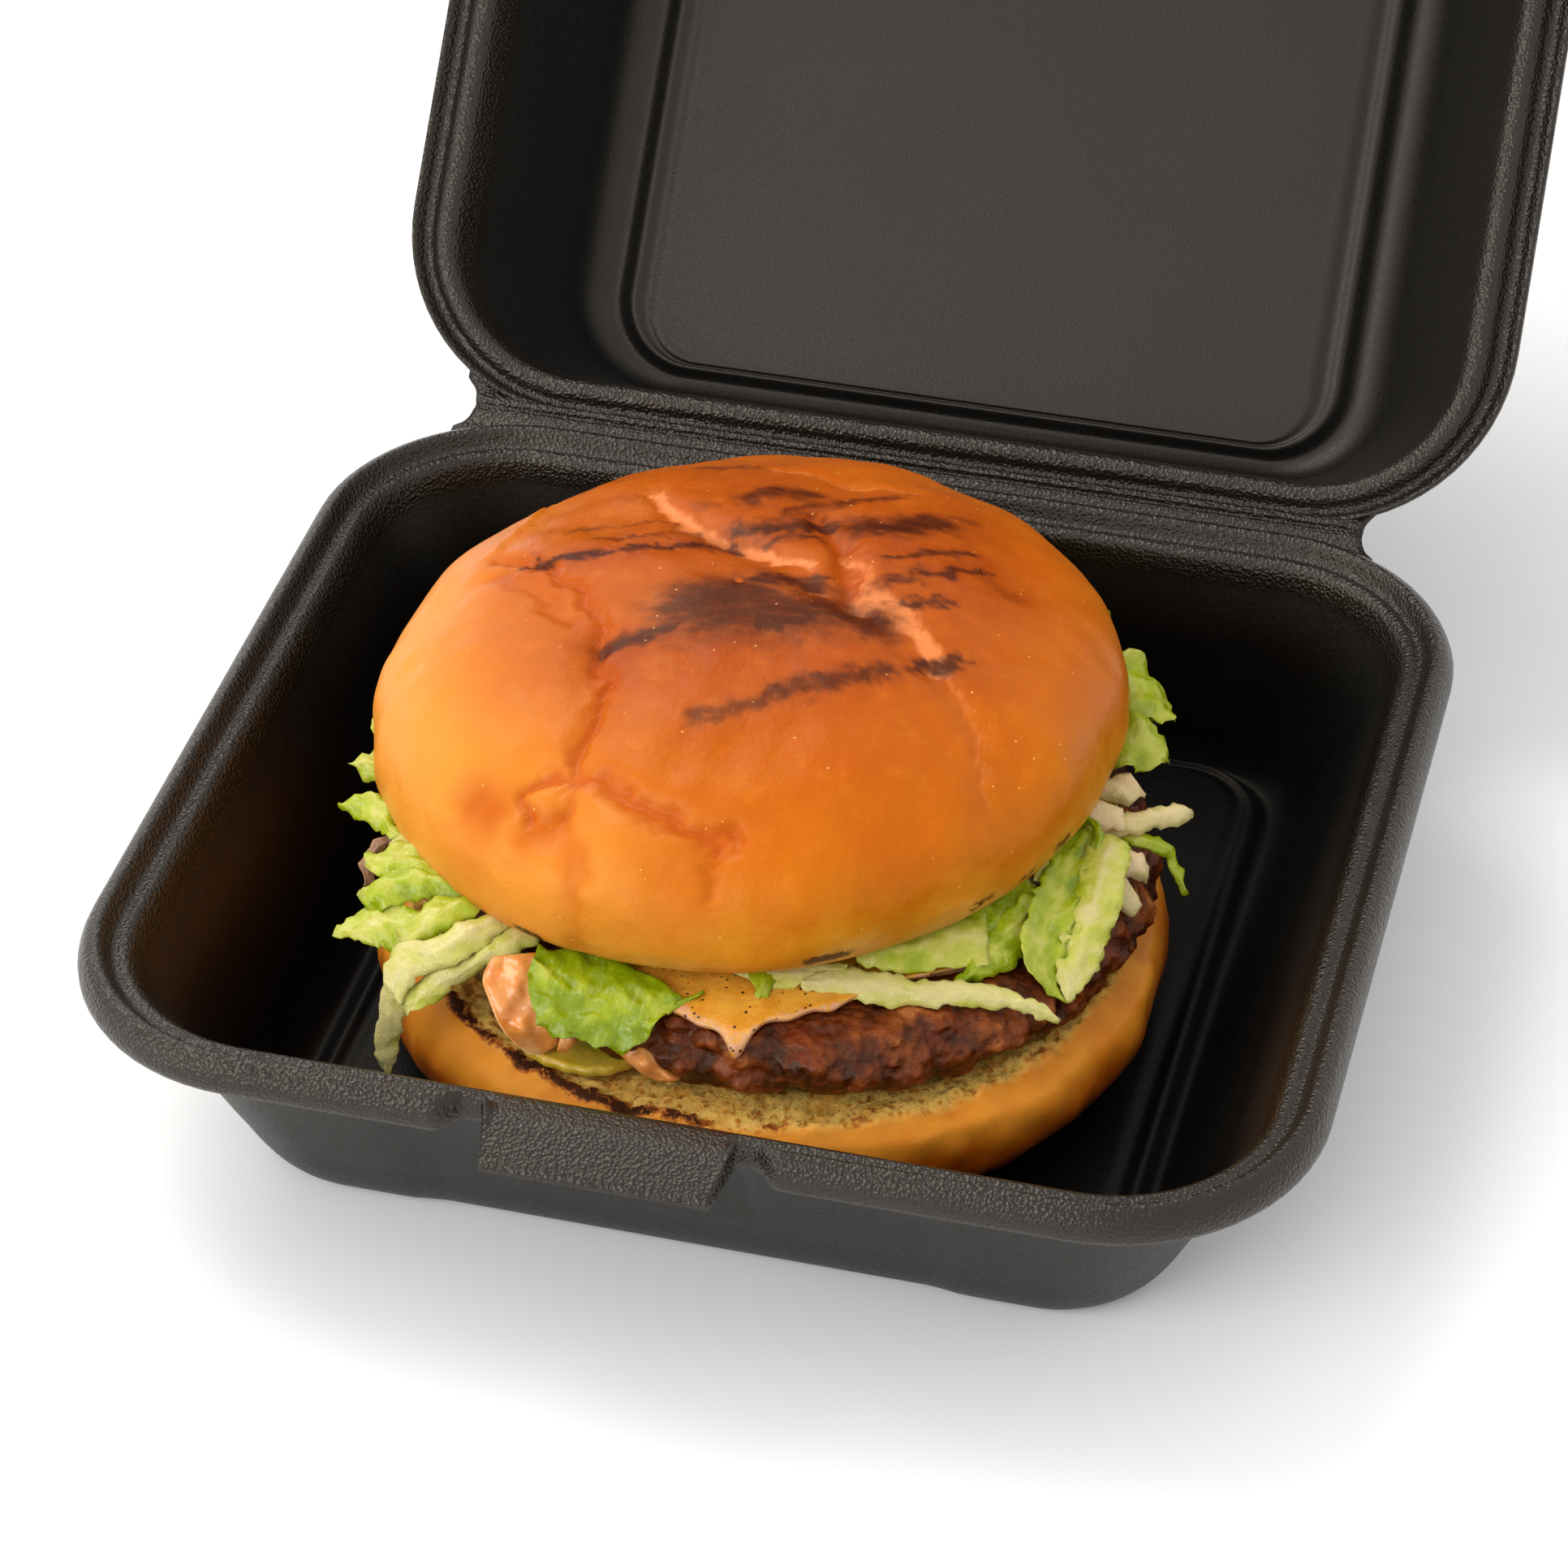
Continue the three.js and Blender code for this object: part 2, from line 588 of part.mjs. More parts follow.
// Joins two like grids of points with a strip round their edge.
function sheet(upper, lower, along, across) {
  const width = across + 1;
  const points = [...upper, ...lower];
  const under = upper.length;
  const faces = [];
  for (let i = 0; i < along; i += 1) {
    for (let j = 0; j < across; j += 1) {
      const a = i * width + j;
      const [b, c, d] = [a + 1, a + width, a + width + 1];
      faces.push([a, c, b], [b, c, d]);
      faces.push([under + a, under + b, under + c], [under + b, under + d, under + c]);
    }
  }
  const edge = [];
  for (let j = 0; j < across; j += 1) edge.push(j);
  for (let i = 0; i < along; i += 1) edge.push(i * width + across);
  for (let j = across; j > 0; j -= 1) edge.push(along * width + j);
  for (let i = along; i > 0; i -= 1) edge.push(i * width);
  edge.forEach((a, k) => {
    const b = edge[(k + 1) % edge.length];
    faces.push([a, b, under + a], [b, under + b, under + a]);
  });
  return { points, faces };
}

const LEAVES = [
  // front left: the wide pale fold, its hanging tip and the pointed leaf behind it
  {
    root: [-20, -27, 32.2], mid: [-29.5, -37.6, 29.9], tip: [-37.6, -44.2, 25.6],
    width: 13, ruffle: 0.8, cup: 0.25,
  },
  {
    root: [-34.5, -41, 28.8], mid: [-38.6, -43.9, 22], tip: [-38.4, -44.1, 14.5],
    width: 5.4, ruffle: 0.3, face: [0.4, -1, 0],
  },
  { root: [-34, -24, 31], mid: [-41, -30, 30.2], tip: [-48.5, -34, 28], width: 11, ruffle: 0.7, seed: 2 },
  // left: the bunched folds and the leaf tips above them
  { root: [-38, -14, 30.5], mid: [-46, -20, 30], tip: [-51, -25, 25], width: 17, ruffle: 1.7, seed: 1 },
  { root: [-40, -8, 29.5], mid: [-48, -12, 28], tip: [-52, -14, 23.5], width: 15, ruffle: 1.5, seed: 4 },
  { root: [-38, -3, 30.9], mid: [-46, -8, 28.9], tip: [-54.4, -11.1, 30], width: 11, ruffle: 1.0, seed: 3 },
  { root: [-38, 6, 30.9], mid: [-47.5, 5, 28.6], tip: [-56.5, 1.5, 31], width: 12, ruffle: 1.2, seed: 5 },
  { root: [-36, 20, 30.9], mid: [-46, 22.5, 28.8], tip: [-54.5, 25, 29.5], width: 15, ruffle: 1.4, seed: 6 },
  // behind
  { root: [-26, 40, 31.5], mid: [-31, 48, 31], tip: [-34, 53, 27], width: 18, ruffle: 1.5, seed: 7 },
  { root: [-4, 44, 32], mid: [-5, 52, 31.5], tip: [-7, 57, 28.5], width: 19, ruffle: 1.5, seed: 8 },
  { root: [17, 40, 32.5], mid: [21, 47, 32], tip: [26, 51, 28], width: 17, ruffle: 1.4, seed: 9 },
  // right: ruffled tips, pale ribs and the yellow-green tail
  { root: [32, 24, 34], mid: [40, 26, 35.5], tip: [46, 27, 35], width: 15, ruffle: 1.5, seed: 10 },
  { root: [34, 12, 34], mid: [43, 13, 34.5], tip: [50.5, 11, 31.5], width: 12, ruffle: 1.3, seed: 11 },
  { root: [40, 5, 33], mid: [48, 3, 32], tip: [52, -4, 27.5], width: 7, ruffle: 0.8, seed: 12 },
  { root: [35, 2, 34], mid: [43, -4, 33.5], tip: [46, -12, 31.5], width: 13, ruffle: 1.2, seed: 13 },
  {
    root: [35, -5, 34.5], mid: [40.5, -15, 33.6], tip: [41.5, -28, 30.6],
    width: 15, ruffle: 1.0, cup: 0.3, seed: 14,
  },
  {
    root: [30, -9, 34.5], mid: [31, -20, 34], tip: [26.5, -31, 32.8],
    width: 9, ruffle: 0.5, cup: 0.5, seed: 15,
  },
  // front right: the flat pale leaf and the long pale shred
  {
    root: [12, -23, 33.2], mid: [21.5, -27.5, 34], tip: [34, -26.5, 34.2],
    width: 8.5, ruffle: 0.4, seed: 16,
  },
  {
    root: [2, -26.5, 32], mid: [22, -33.5, 32.4], tip: [42.5, -30, 31.2],
    width: 4.6, ruffle: 0.3, narrow: 0.9,
  },
  // front: the bright ruffled leaf
  {
    root: [-14, -29, 32], mid: [-13, -40.5, 32], tip: [-11.5, -46.5, 27],
    width: 20, ruffle: 1.3, cup: -0.1, seed: 17,
  },
];

// What fills the space between slice and crown, out to its uneven edge.
function lettuceCore() {
  const reach = (angle) => {
    const round = 42 + 1.5 * ripple(angle, 3, 5, 5);
    return round + 3.5 * bump(angle, 180, 70) - 9 * bump(angle, 276, 38);
  };
  const rows = [
    (angle) => [reach(angle) - 14, 31.3],
    (angle) => [reach(angle) - 4, 30.6 + 0.5 * ripple(angle, 4, 6, 4)],
    (angle) => [reach(angle), 32.2 + 0.5 * ripple(angle, 8, 6, 4)],
    (angle) => [reach(angle) - 3, 34.2 + 0.6 * ripple(angle, 6, 6, 4)],
    (angle) => [reach(angle) - 12, 36.6],
  ];
  return turned(-2.5, 3.5, 36, rows, 31.3, 36.8);
}

// Pale ribs in the right-hand bunch, as short fat lumps.
const RIBS = [
  { at: [45, 8, 33.4], size: [3.6, 2.2, 1.7], turnDeg: 20 },
  { at: [47, 2, 32.6], size: [3.2, 2.0, 1.6], turnDeg: -30 },
  { at: [44.5, -3.5, 33], size: [3.0, 2.2, 1.6], turnDeg: 50 },
  { at: [41.5, 15, 35.6], size: [3.4, 2.0, 1.6], turnDeg: 75 },
];

function ribSolid({ at, size, turnDeg }) {
  const geometry = new THREE.SphereGeometry(1, 8, 5);
  geometry.scale(...size);
  geometry.rotateZ(rad(turnDeg));
  geometry.translate(...at);
  return geometrySolid(geometry);
}

// ---- Assembly ----

const bunBottom = toSolid(bunBottomShape());
const patty = toSolid(pattyShape()).subtract(toSolid(pickleShape(CLEAR)));
const cheese = largest(toSolid(cheeseShape()).subtract(toSolid(pattyShape(CLEAR))));
const crown = toSolid(crownShape());
const pickle = toSolid(pickleShape());
const sauceCutters = [pattyShape(CLEAR), cheeseShape(CLEAR), bunBottomShape(CLEAR), pickleShape(CLEAR)];
const sauce = largest(sauceCutters.reduce((s, c) => s.subtract(toSolid(c)), toSolid(sauceShape())));

function lettuceSolid() {
  let heap = toSolid(lettuceCore());
  LEAVES.forEach((leaf) => {
    heap = heap.add(toSolid(leafShape(leaf)));
  });
  RIBS.forEach((rib) => {
    heap = heap.add(ribSolid(rib));
  });
  const lower = [bunBottomShape(CLEAR), pattyShape(CLEAR), cheeseShape(CLEAR), sauceShape(CLEAR)];
  [crownShape(CLEAR), ...lower].forEach((shape) => {
    heap = heap.subtract(toSolid(shape));
  });
  return largest(largest(heap).simplify(SMALLEST_STEP));
}

const boxFinish = finish(0x2b2826, 0.6);
const group = new THREE.Group();
group.add(toMesh(traySolid(), 'tray', boxFinish));
group.add(toMesh(bunBottom, 'bun_bottom', finish(0xd98a3d, 0.5)));
group.add(toMesh(pickle, 'pickle', finish(0xb8b45c, 0.35)));
group.add(toMesh(patty, 'patty', finish(0x5b2f1f, 0.5)));
group.add(toMesh(sauce, 'sauce', finish(0xe8a878, 0.3)));
group.add(toMesh(cheese, 'cheese', finish(0xf0b050, 0.35)));
group.add(toMesh(lettuceSolid(), 'lettuce', finish(0xa9c95a, 0.5)));
group.add(toMesh(crown, 'bun_top', finish(0xd97f2e, 0.4)));

const lid = new THREE.Group();
lid.position.set(0, HINGE_Y, HINGE_Z);
lid.rotation.x = rad(-LID_OPEN_DEG);
lid.add(toMesh(lidSolid(), 'lid', finish(0x2b2826, 0.6)));
group.add(lid);

export default group;
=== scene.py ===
import math

import bpy
import numpy as np
from mathutils import Matrix, Vector, noise


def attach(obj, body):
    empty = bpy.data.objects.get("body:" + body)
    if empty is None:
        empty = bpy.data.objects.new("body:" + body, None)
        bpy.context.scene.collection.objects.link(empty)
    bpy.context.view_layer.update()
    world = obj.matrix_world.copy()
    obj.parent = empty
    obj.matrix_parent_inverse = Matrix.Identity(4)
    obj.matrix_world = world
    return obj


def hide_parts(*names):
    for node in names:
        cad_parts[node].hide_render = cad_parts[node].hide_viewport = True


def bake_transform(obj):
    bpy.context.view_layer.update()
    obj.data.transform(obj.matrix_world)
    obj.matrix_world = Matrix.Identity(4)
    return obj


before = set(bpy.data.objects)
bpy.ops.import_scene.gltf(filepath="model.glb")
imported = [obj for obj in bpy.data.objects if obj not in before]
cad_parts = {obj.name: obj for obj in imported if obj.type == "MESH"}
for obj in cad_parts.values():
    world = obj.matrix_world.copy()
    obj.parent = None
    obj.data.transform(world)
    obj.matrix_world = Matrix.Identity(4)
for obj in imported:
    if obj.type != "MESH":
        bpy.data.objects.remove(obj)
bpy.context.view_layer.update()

# A burger in an open hinged clamshell box. Shapes below are in millimetres, in the CAD frame:
# X along the hinge, -Y the front, +Z up, origin in the middle of the tray's flat bottom.
MM = 0.001
TAU = 2 * math.pi
TINY = 1e-9  # keeps a divisor away from zero


# ---- Small helpers

def smoothstep(value, low, high):
    """0 up to low, 1 from high, and smooth between them."""
    part = np.clip((value - low) / (high - low), 0, 1)
    return part * part * (3 - 2 * part)


def bell(value, middle, width):
    """1 at the middle, fading to nothing over about twice the width."""
    return np.exp(-(((value - middle) / width) ** 2))


def waves(points, size, seed):
    """Smooth repeatable noise made of plane waves, about -1 to 1, with features near size."""
    count = 28
    rng = np.random.default_rng(seed)
    direction = rng.normal(size=(count, points.shape[1]))
    direction /= np.linalg.norm(direction, axis=1)[:, None]
    length = size * rng.uniform(0.65, 1.7, count)
    phase = rng.uniform(0, TAU, count)
    return np.sin(points @ (direction / length[:, None]).T * TAU + phase).sum(1) / math.sqrt(count)


def ripple(angle, seed, lowest, count):
    """The waviness round an axis that the CAD source also uses."""
    total = 0
    for k in range(count):
        total = total + np.sin((lowest + k) * angle + seed * (k + 1.7) + k * k) / (1 + k * 0.35)
    return total / count


def hermite(rows, where, step):
    """Rows refined to about step, measured along the line that the columns in where draw."""
    rows = np.asarray(rows, float)
    gaps = np.linalg.norm(np.diff(rows[:, where], axis=0), axis=1)
    at = np.concatenate([[0], np.cumsum(gaps)])
    slope = np.gradient(rows, at, axis=0)
    slope[1:-1] = (rows[2:] - rows[:-2]) / (at[2:] - at[:-2])[:, None]
    out = []
    for k, gap in enumerate(gaps):
        count = max(2, math.ceil(gap / step))
        for j in range(count):
            u = j / count
            a, b = 2 * u**3 - 3 * u**2 + 1, u**3 - 2 * u**2 + u
            c, d = 3 * u**2 - 2 * u**3, u**3 - u**2
            out.append(a * rows[k] + b * gap * slope[k] + c * rows[k + 1] + d * gap * slope[k + 1])
    out.append(rows[-1])
    return np.array(out)


def spline(points, count):
    """A smooth line through points, as count points evenly spaced along it."""
    points = np.asarray(points, float)
    fine = hermite(points, slice(0, 3), 0.25)
    gaps = np.linalg.norm(np.diff(fine[:, :3], axis=0), axis=1)
    at = np.concatenate([[0], np.cumsum(gaps)])
    want = np.linspace(0, at[-1], count)
    return np.stack([np.interp(want, at, fine[:, k]) for k in range(points.shape[1])], 1)


def segment_distance(x, y, line):
    """Distance of points from a polyline in the plane."""
    best = np.full(x.shape, np.inf)
    for (x0, y0), (x1, y1) in zip(line[:-1], line[1:]):
        dx, dy = x1 - x0, y1 - y0
        part = np.clip(((x - x0) * dx + (y - y0) * dy) / (dx * dx + dy * dy + TINY), 0, 1)
        best = np.minimum(best, np.hypot(x - x0 - part * dx, y - y0 - part * dy))
    return best


def strokes(x, y, marks):
    """The strongest of several soft strokes, each (strength, half width, line)."""
    field = np.zeros(x.shape)
    for strength, width, line in marks:
        field = np.maximum(field, strength * bell(segment_distance(x, y, line), 0, width))
    return field


def angles(count):
    """Evenly spaced angles round a circle."""
    return np.arange(count) / count * TAU


def circle(radius, angle, z):
    """Points round the Z axis. Radius and z are one number each, or one for each angle."""
    return np.stack([radius * np.cos(angle), radius * np.sin(angle), z + 0 * angle], -1)


def off_axis(points):
    """Distance of points from the Z axis."""
    return np.hypot(points[:, 0], points[:, 1])


def push_out(points, amount):
    """Moves points away from the Z axis."""
    points[:, :2] *= (1 + amount / off_axis(points))[:, None]


def end_points(points, first, last):
    """Stacked rings with a point on the Z axis before and after them, at two heights."""
    return np.concatenate([[[0, 0, first]], points, [[0, 0, last]]])


def end_values(values, first=0, last=0):
    """A value for each point of stacked rings, with one for each end point."""
    return np.concatenate([[first], values, [last]])


def ring_faces(rings, count):
    """Faces of stacked rings of count points, closed by a point at each end."""
    base = 1 + np.arange(rings - 1)[:, None] * count
    k = np.arange(count)[None, :]
    n = (k + 1) % count
    quads = np.stack([base + k, base + n, base + count + n, base + count + k], -1)
    faces = [tuple(q) for q in quads.reshape(-1, 4).tolist()]
    last = 1 + rings * count
    top = last - count
    for k in range(count):
        faces.append((0, 1 + (k + 1) % count, 1 + k))
        faces.append((last, top + k, top + (k + 1) % count))
    return faces


def outward(points, faces):
    """Faces turned so that the closed mesh has a positive volume."""
    volume = 0.0
    for face in faces:
        a = points[face[0]]
        for i in range(1, len(face) - 1):
            volume += a @ np.cross(points[face[i]], points[face[i + 1]])
    return faces if volume > 0 else [tuple(reversed(face)) for face in faces]


def link(obj):
    bpy.context.scene.collection.objects.link(obj)


def add_mesh(name, points, faces, material, body, replaced=(), flat_caps=False):
    """A closed smooth mesh on a body. With flat_caps its end triangles are shaded flat."""
    points = np.asarray(points, float)
    faces = outward(points, faces)
    mesh = bpy.data.meshes.new(name)
    mesh.from_pydata((points * MM).tolist(), [], faces)
    smooth = [len(face) > 3 or not flat_caps for face in faces]
    mesh.polygons.foreach_set("use_smooth", smooth)
    mesh.materials.append(material)
    obj = bpy.data.objects.new(name, mesh)
    link(obj)
    if body:
        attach(obj, body)
    if replaced:
        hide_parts(*replaced)
    return obj


def add_food(name, points, around, material, slot):
    """A mesh of rings of around points with two end points, which replaces its slot's node."""
    rings = (len(points) - 2) // around
    return add_mesh(name, points, ring_faces(rings, around), material, "tray", (slot,))


def paint(obj, name, values):
    """A number for each vertex, which the material reads by name."""
    attribute = obj.data.attributes.new(name, "FLOAT", "POINT")
    attribute.data.foreach_set("value", np.asarray(values, np.float32))


# ---- Materials

def srgb(*levels):
    """Blender's linear colour for red, green and blue from 0 to 255."""
    def linear(value):
        value /= 255
        return value / 12.92 if value <= 0.04045 else ((value + 0.055) / 1.055) ** 2.4
    return (*map(linear, levels), 1)


class Paint:
    """A material whose textures are placed in millimetres."""

    def __init__(self, name, roughness, **sockets):
        self.material = bpy.data.materials.new(name)
        self.material.use_nodes = True
        self.tree = self.material.node_tree
        self.shader = self.tree.nodes["Principled BSDF"]
        self.shader.inputs["Roughness"].default_value = roughness
        for key, value in sockets.items():
            self.shader.inputs[key.replace("_", " ")].default_value = value
        place = self.tree.nodes.new("ShaderNodeTexCoord")
        scale = self.tree.nodes.new("ShaderNodeMapping")
        scale.inputs["Scale"].default_value = (1000, 1000, 1000)
        self.tree.links.new(place.outputs["Object"], scale.inputs["Vector"])
        self.place = scale.outputs["Vector"]

    def put(self, socket, value):
        """Links a socket to another one, or sets its number or colour."""
        if isinstance(value, bpy.types.NodeSocket):
            self.tree.links.new(value, socket)
        else:
            socket.default_value = value

    def place_x(self):
        node = self.tree.nodes.new("ShaderNodeSeparateXYZ")
        self.tree.links.new(self.place, node.inputs[0])
        return node.outputs["X"]

    def stretched(self, x, y, z, turn):
        node = self.tree.nodes.new("ShaderNodeMapping")
        self.tree.links.new(self.place, node.inputs["Vector"])
        node.inputs["Scale"].default_value = (x, y, z)
        node.inputs["Rotation"].default_value = (0, 0, math.radians(turn))
        return node.outputs["Vector"]

    def noise(self, size, detail, rough=0.55, vector=None):
        node = self.tree.nodes.new("ShaderNodeTexNoise")
        self.tree.links.new(vector or self.place, node.inputs["Vector"])
        node.inputs["Scale"].default_value = 1 / size
        node.inputs["Detail"].default_value = detail
        node.inputs["Roughness"].default_value = rough
        return node.outputs["Fac"]

    def cells(self, size, feature="F1", smooth=None):
        node = self.tree.nodes.new("ShaderNodeTexVoronoi")
        self.tree.links.new(self.place, node.inputs["Vector"])
        node.feature = feature
        node.inputs["Scale"].default_value = 1 / size
        if smooth is not None:
            node.inputs["Smoothness"].default_value = smooth
        return node.outputs["Distance"]

    def attribute(self, name):
        node = self.tree.nodes.new("ShaderNodeAttribute")
        node.attribute_name = name
        return node.outputs["Fac"]

    def math(self, operation, *values):
        node = self.tree.nodes.new("ShaderNodeMath")
        node.operation = operation
        for socket, value in zip(node.inputs, values):
            self.put(socket, value)
        return node.outputs[0]

    def times(self, a, b):
        return self.math("MULTIPLY", a, b)

    def span(self, value, low, high, out_low=0.0, out_high=1.0):
        """Value's smooth way from low to high, turned into out_low to out_high."""
        node = self.tree.nodes.new("ShaderNodeMapRange")
        node.interpolation_type = "SMOOTHSTEP"
        for key, number in zip(("Value", "From Min", "From Max", "To Min", "To Max"),
                               (value, low, high, out_low, out_high)):
            self.put(node.inputs[key], number)
        return node.outputs["Result"]

    def uneven(self, low, high, *noise):
        """Noise of a size and detail, spread from low to high."""
        return self.span(self.noise(*noise), 0.3, 0.7, low, high)

    def mix(self, share, a, b):
        """Colour a with a share of colour b over it."""
        node = self.tree.nodes.new("ShaderNodeMix")
        node.data_type = "RGBA"
        factor, colour_a, colour_b = node.inputs[0], node.inputs[6], node.inputs[7]
        self.put(factor, share)
        self.put(colour_a, a)
        self.put(colour_b, b)
        return node.outputs[2]

    def ramp(self, value, stops):
        node = self.tree.nodes.new("ShaderNodeValToRGB")
        self.put(node.inputs["Fac"], value)
        elements = node.color_ramp.elements
        while len(elements) < len(stops):
            elements.new(0.5)
        for element, (place, colour) in zip(elements, stops):
            element.position = place
            element.color = colour
        return node.outputs["Color"]

    def colour(self, socket):
        self.put(self.shader.inputs["Base Color"], socket)

    def rough(self, socket):
        self.put(self.shader.inputs["Roughness"], socket)

    def bump(self, *layers):
        """Each layer is (height, depth in millimetres)."""
        last = None
        for height, depth in layers:
            node = self.tree.nodes.new("ShaderNodeBump")
            node.inputs["Distance"].default_value = depth * MM
            self.tree.links.new(height, node.inputs["Height"])
            if last is not None:
                self.tree.links.new(last, node.inputs["Normal"])
            last = node.outputs["Normal"]
        self.tree.links.new(last, self.shader.inputs["Normal"])


def box_material():
    p = Paint("charcoal_foam", 0.5, Specular_IOR_Level=0.46, Specular_Tint=(1, 0.9, 0.8, 1))
    tone = p.noise(18, 3)
    # Painted light: the rim is painted a lighter, browner colour than the walls, as the light that
    # falls on it; its pebbled grain, bump and gloss are its own.
    wall = p.ramp(tone, [(0.3, srgb(7, 6, 5)), (0.7, srgb(13, 12, 10))])
    rim = p.ramp(tone, [(0.3, srgb(17, 13, 9)), (0.7, srgb(26, 20, 15))])
    pebbled = p.attribute("pebbled")
    p.colour(p.mix(pebbled, wall, rim))
    gloss = p.span(pebbled, 0, 1, 0, 0.14)
    p.rough(p.math("SUBTRACT", p.uneven(0.38, 0.5, 0.5, 3), gloss))
    coarse = p.span(pebbled, 0, 1, 0.08, 1)
    grain = p.times(coarse, p.cells(0.45, "SMOOTH_F1", smooth=0.3))
    uneven = p.times(coarse, p.noise(3.4, 3))
    ribs = p.times(p.attribute("ribbed"), p.math("SINE", p.times(p.place_x(), TAU / RIB_PITCH)))
    p.bump((uneven, 0.04), (grain, 0.15), (p.noise(0.3, 2), 0.04), (ribs, 0.02))
    # Painted shade: the tray's inside is given a lower specular level than the rest, to keep it as
    # dark as the shade deep in the tray.
    p.put(p.shader.inputs["Specular IOR Level"], p.span(p.attribute("inside"), 0, 1, 0.5, 0.16))
    return p.material


# ---- The box

BOX_WIDTH, BOX_FRONT, BOX_BACK = 152, -66.8, 70
WALL = 1.8
HINGE_Y, HINGE_Z = 71, 33
LID_OPEN = math.radians(131.8)
LID_DEPTH = 31
FLAP_X, FLAP_HALF, NOTCH_WIDTH = -4.0, 14.4, 4.6
NOTCH_END = FLAP_HALF + NOTCH_WIDTH
EDGE_RUN, NOTCH_RUN = 1.0, 1.8
RECESS_HALF, RECESS_RUN = 30, 5
CORNER_STEPS, SIDE_STEPS, BACK_STEPS = 16, 8, 12
RIB_PITCH = 1.15
BOX_STEP = 0.8  # between the rings of a shell
FLAP_FRONT_Y = -69.8  # the flap's ribbed face is in front of this

# How a row's inset shifts the front and back walls, which lean less or more than the sides.
TRAY_LEAN = dict(rim_inset=6.9, front_extra=-0.1, back_rim=1, back_wall=0.4)
LID_LEAN = dict(rim_inset=7.6, front_extra=-0.1, back_rim=0.7, back_wall=0.235)



def row(inset, z, radius, recess=0, flap=(0, 0), notch=(0, 0), lift=0, back_inset=0, outer=False):
    """A line round a shell, so far inside its rim, at a height and with a corner radius. Flap and
    notch are shifts in y and z at the front, lift is the rise of the back and back_inset its
    extra inset. Outer is for the outside, which stands a wall's thickness beyond the inside."""
    return dict(inset=inset, z=z, radius=radius, recess=recess, flap=flap, notch=notch,
                lift=lift, back_inset=back_inset, outer=outer)


# The shells' sections, from the middle of the outside over the rim to the middle of the inside.
TRAY_ROWS = [
    row(21.5, 0, 12, recess=0.4, outer=True),
    row(19.6, 0.9, 13.4, recess=0.6, outer=True),
    row(17.7, 3.4, 14.6, recess=0.7, outer=True),
    row(15.2, 9, 15.6, recess=0.7, outer=True),
    row(5.6, 30.4, 20, recess=0.3, outer=True),
    row(2.5, 31.7, 23.4, flap=(-2.6, -1.9), notch=(1.2, -0.7)),
    row(1.4, 29.5, 24.6, flap=(-3.9, -0.9), notch=(1.8, 0.6)),
    row(0.3, 29.7, 25.6, flap=(-4.2, -0.9), notch=(2.3, 0.6)),
    row(0, 31.2, 26, flap=(-4.3, -1.5), notch=(2.4, 0.3)),
    row(0.9, 33.2, 25.2, flap=(-3.2, -2.4), notch=(2.0, 0)),
    row(1.8, 33.85, 24.4, flap=(-1.5, -2.0), notch=(1.4, 0)),
    row(2.6, 34, 23.6, flap=(-0.6, -1.6), notch=(0.8, 0)),
    row(4.4, 31.9, 21.8, flap=(0, 0.5)),
    row(5.5, 32.3, 20.6),
    row(6.9, 31.2, 19.2),
    row(16.8, 9.5, 15, recess=0.7),
    row(19.4, 4.4, 13.6, recess=0.7),
    row(22.6, 2.0, 11.4, recess=0.4),
    row(25, 3.5, 9.6),
    row(26.6, 2.9, 8.4),
    row(28.4, 3.2, 7),
    row(30, 3.2, 6.4),
    row(32, 3.2, 6),
]

LID_ROWS = [
    row(21.5, LID_DEPTH, 12, outer=True),
    row(19.6, 30.1, 13.4, outer=True),
    row(17.7, 27.6, 14.6, outer=True),
    row(15.2, 22, 15.6, outer=True),
    row(6.6, 3.6, 19.6, lift=1.0, outer=True),
    row(1.2, 2.6, 24.8, flap=(-2.4, -0.6), lift=1.2),
    row(0, 1.6, 26, flap=(-2.6, -0.7), lift=0.1),
    row(0.3, 0.5, 25.6, flap=(-2.4, -0.7), lift=0.2),
    row(1.1, 0.9, 24.8, flap=(-2.0, -0.6), lift=0.3),
    row(1.8, 1.6, 24.2, flap=(-1.0, -0.3), lift=0.7),
    row(2.9, 1.6, 23.2, lift=0.7),
    row(4.0, 0.2, 22, lift=1.5),
    row(4.9, -0.2, 21.2, lift=1.7),
    row(6.4, 0.1, 19.8, lift=1.5),
    row(7.6, 1.8, 18.6, lift=1.0),
    row(16.8, 21.5, 15),
    row(19.4, 26.6, 13.6),
    row(23.2, 28.9, 11.4, back_inset=1.4),
    row(26, 27.4, 9.6, back_inset=2.4),
    row(27.6, 28, 8.4, back_inset=2.4),
    row(29.4, 27.7, 7, back_inset=2.4),
    row(31, 27.7, 6.4, back_inset=2.4),
    row(33, 27.7, 6, back_inset=2.4),
]


def placed(values, lean):
    """half x, front y, back y, radius, z, recess, flap y, flap z, notch y, notch z, lift."""
    inset, rim_inset = values["inset"], lean["rim_inset"]
    front = inset + max(0, inset - rim_inset) * lean["front_extra"]
    shift = WALL * values["outer"]
    depth = inset + shift
    back = min(depth, rim_inset) * lean["back_rim"]
    back += max(0, depth - rim_inset) * lean["back_wall"] - shift
    back = BOX_BACK - values["back_inset"] - max(0, back)
    return [BOX_WIDTH / 2 - inset, BOX_FRONT + front, back, values["radius"], values["z"],
            values["recess"], *values["flap"], *values["notch"], values["lift"]]


